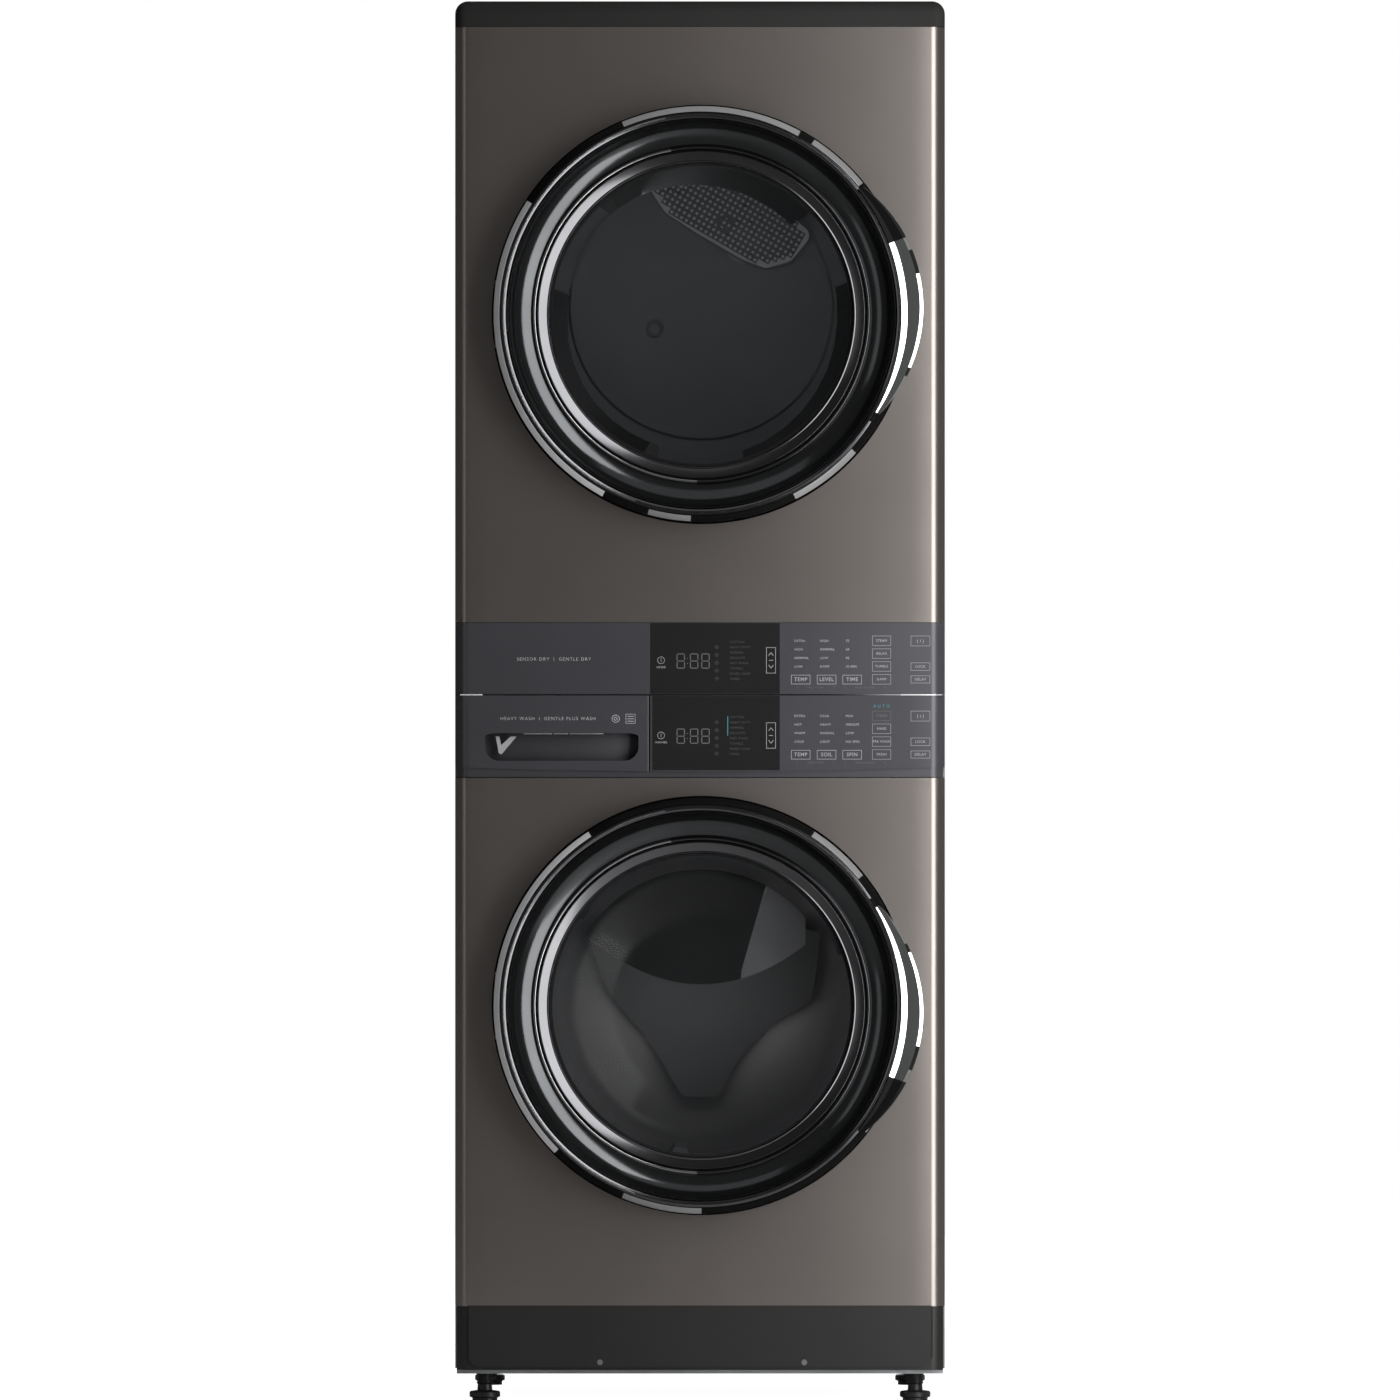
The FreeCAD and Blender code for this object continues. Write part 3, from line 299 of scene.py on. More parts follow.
def lathe_into(bm, profile, centre, materials=None, segments=DOOR_SEGMENTS):
    """Add a closed turned solid: (radius, forward) points round an axis along Y through centre."""
    x, y, z = centre
    rings = []
    for radius, forward in profile:
        if radius <= 0:
            rings.append([bm.verts.new((x, y - forward, z))])
            continue
        ring = []
        for i in range(segments):
            angle = 2 * math.pi * i / segments
            u, v = radius * math.cos(angle), radius * math.sin(angle)
            ring.append(bm.verts.new((x + u, y - forward, z + v)))
        rings.append(ring)
    count = len(rings)
    open_ended = len(rings[0]) == 1 and len(rings[-1]) == 1
    for k in range(count - 1 if open_ended else count):
        a = rings[k]
        b = rings[(k + 1) % count]
        if len(a) == 1 and len(b) == 1:
            continue
        for i in range(segments):
            j = (i + 1) % segments
            if len(a) == 1:
                face = bm.faces.new((a[0], b[i], b[j]))
            elif len(b) == 1:
                face = bm.faces.new((a[i], b[0], a[j]))
            else:
                face = bm.faces.new((a[i], b[i], b[j], a[j]))
            if materials:
                middle = [(p + q) / 2 for p, q in zip(profile[k], profile[(k + 1) % count])]
                face.material_index = materials(*middle, math.degrees(2 * math.pi * i / segments))


def lathe(name, profile, centre, keys, body, replaced=(), materials=None):
    bm = bmesh.new()
    lathe_into(bm, profile, centre, materials)
    return piece(name, bm, keys, body, replaced)


def block_into(bm, low, high, bevel=0.0, steps=3):
    """Add a box with rounded edges."""
    made = bmesh.ops.create_cube(bm, size=1)["verts"]
    size = Vector(high) - Vector(low)
    middle = (Vector(high) + Vector(low)) / 2
    for vert in made:
        vert.co = Vector([c * s for c, s in zip(vert.co, size)]) + middle
    if bevel:
        edges = list({edge for vert in made for edge in vert.link_edges})
        bmesh.ops.bevel(bm, geom=edges, offset=bevel, segments=steps, affect="EDGES", profile=0.5)


def blocks(name, boxes, bevel, key, body, replaced=(), steps=2):
    """One piece made of boxes, each given by its low and high corners."""
    bm = bmesh.new()
    for low, high in boxes:
        block_into(bm, low, high, bevel, steps)
    piece(name, bm, [key], body, replaced)


def level(height):
    """A height that is the same at every x."""
    return lambda at: height


def skin(name, plan, low, high, thick, key, slot, body="cabinet", hole=None, replaced=()):
    """A sheet that follows a plan of (x, y) points, between two heights, each worked out from x.

    hole gives the low and high z of an opening at x, or None where the sheet is whole."""
    bm = bmesh.new()
    inward = offset_line(plan, thick)

    columns = []
    for (x, y), (ix, iy) in zip(plan, inward):
        gap = hole(x) if hole else None
        heights = [low(x), *(gap or ()), high(x)]
        front = [bm.verts.new((x, y, z)) for z in heights]
        back = [bm.verts.new((ix, iy, z)) for z in heights]
        columns.append((front, back))

    def strip(left, right, under, over):
        (lf, lb), (rf, rb) = left, right
        bm.faces.new((lf[under], rf[under], rf[over], lf[over]))
        bm.faces.new((lb[under], lb[over], rb[over], rb[under]))
        bm.faces.new((lf[under], lb[under], rb[under], rf[under]))
        bm.faces.new((lf[over], rf[over], rb[over], lb[over]))

    for left, right in zip(columns, columns[1:]):
        cut_left, cut_right = len(left[0]) == 4, len(right[0]) == 4
        if cut_left and cut_right:
            strip(left, right, 0, 1)
            strip(left, right, 2, 3)
        else:
            strip(left, right, 0, -1)
            for (front, back), cut in ((left, cut_left), (right, cut_right)):
                if cut:
                    bm.faces.new((front[1], back[1], back[2], front[2]))
    for front, back in (columns[0], columns[-1]):
        bm.faces.new((front[0], back[0], back[-1], front[-1]))
    piece(name, bm, [key], body, replaced)


def offset_line(line, distance):
    """The line moved to its left side, walking from its first point to its last."""
    moved = []
    for i, point in enumerate(line):
        before = Vector(line[max(i - 1, 0)])
        after = Vector(line[min(i + 1, len(line) - 1)])
        along = (after - before).normalized()
        moved.append((point[0] - along.y * distance, point[1] + along.x * distance))
    return moved


def plan_line(left=None, right=None, inset=0.0, extra=()):
    """Plan of a front skin, bevelled at the cabinet's sides where left or right is None.

    extra gives more places in x along the flat of the front."""
    face = FRONT + inset
    end = [
        (HALF_WIDTH - 12, face, 17),
        (HALF_WIDTH - inset, FRONT + 15, 4),
        (HALF_WIDTH - inset, BACK_OF_SKIN, 0),
    ]
    start = [(-x, y, radius) for x, y, radius in reversed(end)]
    if left is not None:
        start = [(left, BACK_OF_SKIN, 0), (left, face, 1.5)]
    if right is not None:
        end = [(right, face, 1.5), (right, BACK_OF_SKIN, 0)]
    line = soften(start + end)
    wanted = sorted(extra)
    before = [p for p in line if p[0] < (wanted[0] if wanted else 0)]
    after = [p for p in line if p[0] > (wanted[-1] if wanted else 0)]
    return before + [(x, face) for x in wanted] + after


def spread_columns(low, high, count):
    """Column places that crowd together at both ends of an opening."""
    middle = (low + high) / 2
    half = (high - low) / 2
    return [middle - half * math.cos(math.pi * i / count) for i in range(count + 1)]


# -------- fronts


SKIN_THICK = 1.5
RECESS_RADIUS = 293.5
RECESS_HOLE = 240
EDGE_SINK = 0.6


def front_panel(machine, low_z, high_z):
    """Bevelled metallic skin with a round opening, and the dish behind the door, painted black as the shade
    round the door.
    """
    x, floor_y, z = door_centre(machine)
    radius = RECESS_RADIUS
    columns = spread_columns(x - radius + 0.02, x + radius - 0.02, 96)

    def hole(at):
        inside = radius**2 - (at - x) ** 2
        if inside <= 0:
            return None
        half = math.sqrt(inside)
        return (z - half, z + half)

    node = f"{machine}_front_panel"
    look = (SKIN_THICK, "titanium", "titanium_steel", "cabinet", hole, [node])
    skin(f"{machine}_front_skin", plan_line(extra=columns), level(low_z), level(high_z), *look)
    floor = FRONT - floor_y
    dish = closed(
        [
            (radius, -EDGE_SINK, 0),
            (radius + SKIN_THICK, -EDGE_SINK, 0.4),
            (radius + SKIN_THICK, floor - SKIN_THICK, 1.0),
            (RECESS_HOLE, floor - SKIN_THICK, 0.4),
            (RECESS_HOLE, floor, 0.4),
            (radius, floor, 1.5),
        ]
    )
    # The recess dish is black as painted shade round the door.
    lathe(f"{machine}_door_recess_painted_shade", dish, (x, FRONT, z), ["black_gloss"], "cabinet")


def fronts():
    front_panel("dryer", PANEL_LOW[2], PANEL_HIGH[2])
    panel_top = corner_mm("washer_console")[0][2] - 9
    front_panel("washer", WASHER_BOTTOM, panel_top)
    heights = level(panel_top + 1.0), level(panel_top + 16.0)
    skin("washer_panel_lip", plan_line(inset=2.4), *heights, SKIN_THICK, "console", "titanium_steel")


def toe():
    """Kick panel with round lower corners, under the washer's front, painted near-black as the dark
    reflection of its downward-facing facet.
    """
    low, high = corner_mm("toe_panel")
    corner = 20.0
    inner = HALF_WIDTH - 17

    def bottom(at):
        past = abs(at) - (inner - corner)
        if past <= 0:
            return low[2] + 2
        return low[2] + 2 + corner - math.sqrt(max(corner**2 - min(past, corner) ** 2, 0))

    ends = [inner - corner * (1 - math.sin(math.pi / 2 * i / 10)) for i in range(11)]
    columns = sorted({-e for e in ends} | set(ends))
    plan = [(x, FRONT - 0.4 if abs(x) < inner - 1 else FRONT + 1.5) for x in columns]
    # Both toe pieces are near-black as painted dark reflection of the downward-facing kick facet.
    skin("toe_cover_painted_shade", plan, bottom, level(high[2] + 1.5), 3.0, "charcoal_and_painted_shade", "charcoal_plastic")
    heights = level(low[2] - 2), level(high[2])
    look = (2.0, "charcoal_and_painted_shade", "charcoal_plastic")
    skin("toe_back_painted_shade", plan_line(inset=2.2), *heights, *look, replaced=["toe_panel"])


def top():
    """Moulded top: round upper corners and a round front edge."""
    low, high = corner_mm("top_panel")
    bm = bmesh.new()
    block_into(bm, low, high)
    bm.edges.ensure_lookup_table()
    tall = [e for e in bm.edges if abs(e.verts[0].co.z - e.verts[1].co.z) > 1 and e.verts[0].co.y < 0]
    bmesh.ops.bevel(bm, geom=tall, offset=15, segments=6, affect="EDGES", profile=0.5)
    upper = [e for e in bm.edges if all(v.co.z > high[2] - 0.01 for v in e.verts)]
    bmesh.ops.bevel(bm, geom=upper, offset=18, segments=8, affect="EDGES", profile=0.5)
    # The top's near-black is partly its own dark grey and partly painted dark reflection on its up-facing
    # front edge.
    piece("top_cover", bm, ["top_black_and_shade"], "cabinet", ["top_panel"])


# -------- consoles


# The thickness, finish and slot of a console's skin.
FASCIA = (2.5, "console", "console_plastic")


def consoles():
    """Two fascias with a black display area each; the lower one has a bowed bottom edge."""
    low, high = corner_mm("dryer_console")
    window_low, window_high = corner_mm("display_windows")
    left, right = window_low[0], window_high[0]
    plan = plan_line(extra=[left, right])
    skin("dryer_fascia", plan, level(low[2]), level(high[2]), *FASCIA, replaced=["dryer_console"])
    wash_low, wash_high = corner_mm("washer_console")
    bowed = [wash_low[0] + 0.3 + (HALF_WIDTH - 50 - wash_low[0]) * i / 16 for i in range(17)]
    plan = plan_line(wash_low[0], extra=bowed[1:])
    heights = sag(wash_low[2]), level(wash_high[2])
    skin("washer_fascia", plan, *heights, *FASCIA, replaced=["washer_console"])
    y0, y1 = FRONT - 0.35, FRONT + 0.6
    panes = [
        ((left, y0, low[2] + 0.5), (right, y1, high[2] - 0.5)),
        ((left + 3, y0, wash_low[2] + 2.0), (right, y1, wash_high[2] - 0.5)),
    ]
    blocks("display_glass", panes, 0.15, "display", "cabinet", ["display_windows"], 1)
    seam = (low[2] + wash_high[2]) / 2
    strip = (-HALF_WIDTH + 4, FRONT + 1.2, seam - 1.0), (HALF_WIDTH - 4, FRONT + 6, seam + 1.0)
    blocks("seam_strip", [strip], 0.3, "dark_chrome", "cabinet")
    backing = (-HALF_WIDTH + 8, FRONT + 4, high[2] - 6), (HALF_WIDTH - 8, FRONT + 7, PANEL_LOW[2] + 6)
    blocks("console_backing", [backing], 0.5, "charcoal_and_painted_shade", "cabinet", steps=3)
    # Pale blocks at both ends of the seam strip are painted highlights on the strip's ends.
    ends = [
        ((x0, FRONT + 0.3, seam - 0.9), (x1, FRONT + 3, seam + 0.9))
        for x0, x1 in ((-HALF_WIDTH + 7, -304.5), (280.7, HALF_WIDTH - 13))
    ]
    blocks("seam_painted_glints", ends, 0.3, "painted_glint_pale", "cabinet")
    return high[2], wash_high[2]


SAG_RADIUS = 9800.0


def sag(lowest):
    """The bowed lower edge of the washer's console: lowest in the middle."""
    return lambda at: lowest + SAG_RADIUS - math.sqrt(SAG_RADIUS**2 - at**2)


# The drawer's finger pocket: its left, right, lowest and highest places, and its corners' radius.
POCKET = (-301.0, -86.0, 899.0, 938.0)
POCKET_CORNER = 20


def drawer():
    """The drawer's front with its finger pocket, and the two-cup tray behind it."""
    low, high = corner_mm("detergent_drawer")
    left, right, floor, roof = POCKET
    columns = [low[0] + 25] + spread_columns(left + 0.01, right - 0.01, 40) + [high[0] - 3]

    def hole(at):
        if not left < at < right:
            return None
        inset = POCKET_CORNER - min(at - left, right - at, POCKET_CORNER)
        drop = POCKET_CORNER - math.sqrt(max(POCKET_CORNER**2 - inset**2, 0))
        return (floor + drop, roof - drop * 0.25)

    plan = plan_line(right=high[0], extra=columns)
    skin("drawer_front", plan, sag(low[2]), level(high[2]), *FASCIA, "drawer", hole, ["detergent_drawer"])
    shell = 2.0
    x0, x1, z0, z1 = left - shell, right + shell, floor - shell, roof + shell
    y0, y1 = FRONT + 2.4, FRONT + 21
    walls = [
        ((x0, y1 - shell, z0), (x1, y1, z1)),
        ((x0, y0, z1 - shell), (x1, y1, z1)),
        ((x0, y0, z0), (x1, y1, z0 + shell)),
        ((x0, y0, z0), (x0 + shell, y1, z1)),
        ((x1 - shell, y0, z0), (x1, y1, z1)),
    ]
    blocks("drawer_pocket", walls, 0.5, "console", "drawer")
    # Three grey dashes along the pocket's upper edge are painted highlights on its lip.
    glint_dashes = [
        ((x0 + start, FRONT - 0.8, roof - 1.8), (x0 + end, FRONT + 6, roof - 0.4))
        for start, end in ((56, 96), (98, 118), (120, 168))
    ]
    blocks("drawer_lip_painted_glints", glint_dashes, 0.4, "painted_glint_grey", "drawer")
    # A pale V on the pocket's left wall, in the print colour, is a painted highlight.
    glint_outline = [(17, 36), (22, 36), (24.5, 24), (38, 36), (46, 36), (25, 11), (21, 13)]
    plate("drawer_pocket_painted_glint", glint_outline, x0, z0, FRONT + 9, FRONT + 11, "print", "drawer", slot="bright_trim")
    x0, x1, y0, y1, z0, z1 = -300.0, -140.0, y1, low[1] + 239.5, 903.0, 955.0
    wall = 3.0
    walls = [((x0, y0, z0), (x1, y1, z0 + wall))]
    walls += [((a, y0, z0), (b, y1, z1)) for a, b in ((x0, x0 + wall), (-222.0, -219.0), (x1 - wall, x1))]
    walls += [((x0, a, z0), (x1, b, z1)) for a, b in ((y0, y0 + wall), (y1 - wall, y1))]
    blocks("drawer_tray", walls, 0.8, "white_plastic", "drawer")


# -------- printed controls


class Print:
    """Thin raised print on the console's face, gathered into one mesh."""

    def __init__(self, lift=0.15):
        self.bm = bmesh.new()
        self.y = FRONT - 0.4 - lift

    def bar(self, x0, x1, z0, z1):
        block_into(self.bm, (x0, self.y, z0), (x1, self.y + 0.3, z1))

    def word(self, text, x, z, height, align="CENTER", weight=0.0, spacing=1.08):
        curve = bpy.data.curves.new("word", "FONT")
        curve.body = text
        curve.size = height * 1.42
        curve.align_x = align
        curve.align_y = "CENTER"
        curve.extrude = 0.1
        curve.offset = weight
        curve.resolution_u = 2
        curve.space_character = spacing
        holder = add_object("word", curve)
        bpy.context.view_layer.update()
        mesh = bpy.data.meshes.new_from_object(holder)
        mesh.transform(Matrix.Translation((x, self.y, z)) @ Matrix.Rotation(math.pi / 2, 4, "X"))
        self.bm.from_mesh(mesh)
        bpy.data.objects.remove(holder)
        bpy.data.curves.remove(curve)
        bpy.data.meshes.remove(mesh)

    def box(self, x0, x1, z0, z1, line=0.45):
        self.bar(x0, x1, z0, z0 + line)
        self.bar(x0, x1, z1 - line, z1)
        self.bar(x0, x0 + line, z0 + line, z1 - line)
        self.bar(x1 - line, x1, z0 + line, z1 - line)

    def ring(self, x, z, radius, line=0.6):
        ends = [(radius, 0), (radius, 0.3), (radius - line, 0.3), (radius - line, 0)]
        lathe_into(self.bm, ends, (x, self.y + 0.3, z), segments=24)

    def done(self, name, key, body="cabinet"):
        bmesh.ops.remove_doubles(self.bm, verts=self.bm.verts, dist=0.001)
        piece(name, self.bm, [key], body)


OPTION_WORDS = {
    "dryer": [
        ("EXTRA", "HIGH", "75"), ("HIGH", "NORMAL", "60"), ("NORMAL", "LOW", "45"), ("LOW", "DAMP", "30 MIN"),
    ],
    "washer": [
        ("EXTRA", "SOAK", "MAX"), ("HOT", "HEAVY", "MEDIUM"), ("WARM", "NORMAL", "LOW"),
        ("COLD", "LIGHT", "NO SPIN"),
    ],
}
BUTTON_WORDS = {"dryer": ("TEMP", "LEVEL", "TIME"), "washer": ("TEMP", "SOIL", "SPIN")}
EXTRA_WORDS = {
    "dryer": ("STEAM", "RELAX", "TUMBLE", "DAMP"),
    "washer": ("STEAM", "RINSE", "PRE WASH", "FRESH"),
}
CYCLE_WORDS = ("COTTON", "HEAVY DUTY", "NORMAL", "DELICATE", "FAST WASH", "TOWELS", "MIXED LOAD", "TIMED")
# Divider's x, how far down it is, the words on both sides, and the body the words ride on.
SLOGANS = {
    "dryer": (-204.5, 51.0, "SENSOR DRY", "GENTLE DRY", "cabinet"),
    "washer": (-225.0, 32.5, "HEAVY WASH", "GENTLE PLUS WASH", "drawer"),
}


def controls(machine, ceiling, drop):
    """Printed symbols of one console; heights are measured down from its top edge."""
    bright = Print()
    middling = Print()
    dim = Print()

    def down(distance):
        return ceiling - drop - distance

    slogan = Print(-0.25)
    divider, depth, first, second, body = SLOGANS[machine]
    height = ceiling - depth
    slogan.word(first, divider - 6.5, height, 4.6, "RIGHT", 0.0, 1.25)
    slogan.bar(divider - 0.3, divider + 0.3, height - 2.4, height + 2.4)
    slogan.word(second, divider + 6.5, height, 4.6, "LEFT", 0.0, 1.25)
    if machine == "washer":
        slogan.ring(-118, height, 5.6, 0.9)
        slogan.ring(-118, height, 2.6, 0.9)
        slogan.box(-104, -90.5, height - 6.8, height + 6.8, 0.7)
        for step in range(3):
            slogan.bar(-101.6, -93, height - 4 + 3.4 * step, height - 3 + 3.4 * step)
    slogan.done(f"{machine}_slogan_print", "print", body)
    bright.ring(-54.5, down(52.5), 5.1)
    bright.bar(-54.8, -54.2, down(55), down(49.6))
    bright.word(machine.upper(), -54.5, down(62.3), 2.8)
    digits(middling, -32.7, down(64), down(43))
    for row, word in enumerate(CYCLE_WORDS):
        dim.word(word, 41.6, down(27 + 7.4 * row), 3.2, "LEFT")
    for row in range(5):
        middle = down(34 + 11 * row)
        dim.ring(23.4, middle, 2.6, 0.5)
        dim.bar(21.7, 25.1, middle - 0.4, middle + 0.4)
    bright.box(92.7, 106.1, down(70.7), down(34.4), 0.6)
    chevron(bright, 99.4, down(43.6), 1)
    chevron(bright, 99.4, down(61.4), -1)
    bright.bar(96.6, 102.2, down(52.9), down(52.2))
    for row, words in enumerate(OPTION_WORDS[machine]):
        for x, word in zip((132, 168, 204), words):
            bright.word(word, x, down(25.4 + 12 * row), 3.3, "LEFT")
    for x, word in zip((141, 177.2, 213), BUTTON_WORDS[machine]):
        bright.box(x - 13.4, x + 13.4, down(86), down(73), 0.6)
        bright.word(word, x, down(79.4), 5.2, "CENTER", 0.02)
    for row, word in enumerate(EXTRA_WORDS[machine]):
        sheet = middling if machine == "washer" and row == 0 else bright
        top_edge = down(18.2 + 18 * row)
        sheet.box(241.2, 267.3, top_edge - 13.9, top_edge)
        sheet.word(word, 254.2, top_edge - 6.9, 3.4)
    bright.box(295.1, 322, down(32.6), down(18.2))
    bright.word("( i )", 308.5, down(25.4), 4.6)
    for low, high, word in ((66.9, 55.8, "LOCK"), (84.5, 74, "DELAY")):
        bright.box(295.1, 322, down(low), down(high))
        bright.word(word, 308.5, (down(low) + down(high)) / 2, 3.6)
    for x0, x1, word in ((135.4, 187.8, "HOLD TO SET"), (202.7, 258.9, "HOLD TO LOCK")):
        middling.bar(x0, x0 + 0.5, down(92), down(89))
        middling.bar(x1 - 0.5, x1, down(92), down(89))
        middling.word(word, (x0 + x1) / 2, down(90.8), 2.4)
    bright.done(f"{machine}_print", "print")
    middling.done(f"{machine}_soft_print", "print_mid")
    dim.done(f"{machine}_dim_print", "print_dim")
    if machine == "washer":
        glow = Print(0.3)
        glow.bar(38.3, 39.3, ceiling - 56, ceiling - 29)
        glow.word("A U T O", 254.2, ceiling - 15, 4.2)
        glow.done("washer_glow_print", "print_teal")


def chevron(sheet, x, z, way):
    """A small arrow of two strokes."""
    for side in (-1, 1):
        made = bmesh.ops.create_cube(sheet.bm, size=1)["verts"]
        turn = Matrix.Rotation(side * way * math.radians(52), 4, "Y")
        move = Matrix.Translation((x + side * 1.5, sheet.y + 0.15, z))
        bmesh.ops.transform(sheet.bm, matrix=move @ turn @ Matrix.Diagonal((5.6, 0.3, 0.8, 1)), verts=made)


def digits(sheet, left, low, high):
    """8:88 in seven-segment strokes."""
    tall = high - low
    wide = tall * 0.55
    line = 1.1
    middle = (low + high) / 2
    for x in (left, left + wide * 1.62, left + wide * 3.0):
        for z in (low, middle - line / 2, high - line):
            sheet.bar(x + line, x + wide - line, z, z + line)
        for z0, z1 in ((low + line, middle - line), (middle + line, high - line)):
            sheet.bar(x, x + line, z0, z1)
            sheet.bar(x + wide - line, x + wide, z0, z1)
    colon = left + wide * 1.26
    for z in (middle - 4, middle + 3):
        sheet.bar(colon, colon + 1.2, z, z + 1.2)


# -------- doors


def hinge_notches(machine):
    """Room for the two hinge lugs in the ring's left side."""
    low, high = corner_mm(f"{machine}_door_hinge")
    x, floor_y, z = door_centre(machine)
    pivot_x = low[0] + 4
    notches = []
    for side in (-1, 1):
        middle = z + side * 36
        notches.append(((pivot_x - 30, -380, middle - 14), (pivot_x + 11, floor_y + 6, middle + 14)))
    return notches


def carve(obj, boxes):
    """Cut boxes out of an object and keep the result as its mesh."""
    bm = bmesh.new()
    for low, high in boxes:
        block_into(bm, low, high)
    bmesh.ops.recalc_face_normals(bm, faces=bm.faces)
    bmesh.ops.scale(bm, vec=(MM, MM, MM), verts=bm.verts)
    cutter = add_object("cutter", to_mesh("cutter", bm))
    change = obj.modifiers.new("notches", "BOOLEAN")
    change.operation = "DIFFERENCE"
    change.solver = "EXACT"
    change.object = cutter
    bpy.context.view_layer.update()
    done = bpy.data.meshes.new_from_object(obj.evaluated_get(bpy.context.evaluated_depsgraph_get()))
    obj.modifiers.clear()
    obj.data = done
    bpy.data.objects.remove(cutter)


RING = [
    (287.5, 3, 0), (290.5, 3, 0.8), (290.5, 50, 2), (283.0, 57.5, 0.8),
    (282.4, 57.5, 0.2), (282.4, 55.5, 0.2), (281.2, 55.5, 0.2), (281.2, 58.0, 0.3),
    (278.4, 58.3, 0.3), (277.8, 59.2, 0.4), (276.6, 59.2, 0.4), (276.0, 57.6, 0.3),
    (273.6, 56.4, 0.6), (273.6, 54.0, 0.4), (283.5, 53.5, 0.4), (287.5, 46, 1.0),
]
BEZEL = [
    (215, 1, 0), (236.2, 1, 0.5), (236.2, 15.5, 1.6), (232.6, 15.0, 1.2),
    (231.0, 11.5, 0.6), (229.4, 11.5, 0.6), (228.6, 14.0, 0.8), (216.4, 7.0, 0.8),
    (214.6, 7.6, 0.5), (213.4, 6.4, 0.4), (212.6, 2.5, 0.4), (212.6, 1, 0.2),
]
# Angles round a door are in degrees, anticlockwise from the right-hand side. These are the stretches where
# the ring's outer bevel carries a painted reflection in grey instead of black, where that painted reflection
# is paler, and where the ring's line and the bezel's rim carry a painted chrome highlight.
RING_PAINTED_GLINTS = {
    "dryer": ((38, 56), (60, 112), (146, 240), (254, 266), (296, 318)),
    "washer": ((39, 57), (122, 224), (246, 269), (321, 333)),
}
PALE_PAINTED_GLINTS = (115, 245)
LINE_PAINTED_HIGHLIGHT = (100, 250)
RIM_PAINTED_HIGHLIGHT = (100, 268)
BEZEL_RADIUS = 236.4
DISH_FLOOR_SLOPE = 18.0
DISH_LIP = 55.0
DISH_STRIDE = 1.2
DISH_THICK = 1.8


def door(machine, flip):
    """One door: ring, dished funnel, inner bezel and crescent grip, with painted highlights and reflections
    on the ring, the bezel's rim and the grip.
    """
    centre = door_centre(machine)
    body = f"{machine}_door"

    # Painted light on the ring: the outer bevel is grey or pale only in its stretches and black elsewhere as
    # painted dark reflection; the groove behind it is black as painted shade; the ring's line is chrome only
    # in its stretch.
    def ring_finish_and_glints(radius, forward, degrees):
        if forward > 46 and radius > 281:
            if radius > 282.6 and any(low < degrees < high for low, high in RING_PAINTED_GLINTS[machine]):
                return 4 if PALE_PAINTED_GLINTS[0] < degrees < PALE_PAINTED_GLINTS[1] else 3
            return 2
        return 0 if 276.2 < radius < 278.2 and LINE_PAINTED_HIGHLIGHT[0] < degrees < LINE_PAINTED_HIGHLIGHT[1] else 1

    finishes = ["chrome", "dark_chrome", "black_gloss", "painted_glint_grey", "painted_glint_pale"]
    replaced = [f"{machine}_door_ring"]
    ring = closed(RING, 4)
    band = lathe(f"{body}_outer_ring", ring, centre, finishes, body, replaced, ring_finish_and_glints)
    carve(band, hinge_notches(machine))
    slope = DISH_FLOOR_SLOPE
    radius, forward = BEZEL_RADIUS, 10.0
    bowl = [(radius, forward)]
    while forward < DISH_LIP - 1:
        radius += DISH_STRIDE * math.cos(math.radians(slope))
        forward += DISH_STRIDE * math.sin(math.radians(slope))
        slope = dish_slope(radius)
        bowl.append((radius, forward))
    back = [(r + DISH_THICK, max(f - 2.0, 6.2)) for r, f in reversed(bowl)]
    bowl += [(radius + 0.1, DISH_LIP), (radius + 0.8, DISH_LIP + 0.8), (radius + DISH_THICK, DISH_LIP)]
    replaced = [f"{machine}_door_funnel"]
    lathe(f"{body}_dish", bowl + back, centre, ["funnel"], body, replaced)

    # Painted light on the bezel: its rim is chrome only in a painted highlight stretch, and the groove inside
    # the rim is black as painted shade.
    def bezel_finish_and_glints(radius, _, degrees):
        if radius > 231.6:
            return 0 if RIM_PAINTED_HIGHLIGHT[0] < degrees < RIM_PAINTED_HIGHLIGHT[1] else 1
        return 2 if radius > 229 else 1

    replaced = [f"{machine}_door_bezel"]
    bezel = closed(BEZEL, 4)
    lathe(f"{body}_inner_bezel", bezel, centre, finishes[:3], body, replaced, bezel_finish_and_glints)
    grip(machine, centre, body, flip)


def dish_slope(radius):
    """Slope of the dish in degrees: nearly flat beside the window, steep at the lip."""
    if radius < 251:
        return DISH_FLOOR_SLOPE + (radius - BEZEL_RADIUS) * 0.88
    if radius < 268:
        return 30.8 + (radius - 251) * 1.6
    return 85.0


# The grip's outer edge is a circle shifted sideways and turned from the door's middle.
GRIP_SHIFT = 100.0
GRIP_RADIUS = 211.0
GRIP_LEAN = 5.0
GRIP_INNER = 279.3
GRIP_START = -32.5
GRIP_END = 38.5
GRIP_STEPS = 142
GRIP_SHARP = math.radians(9)
RING_EDGE = 291.2


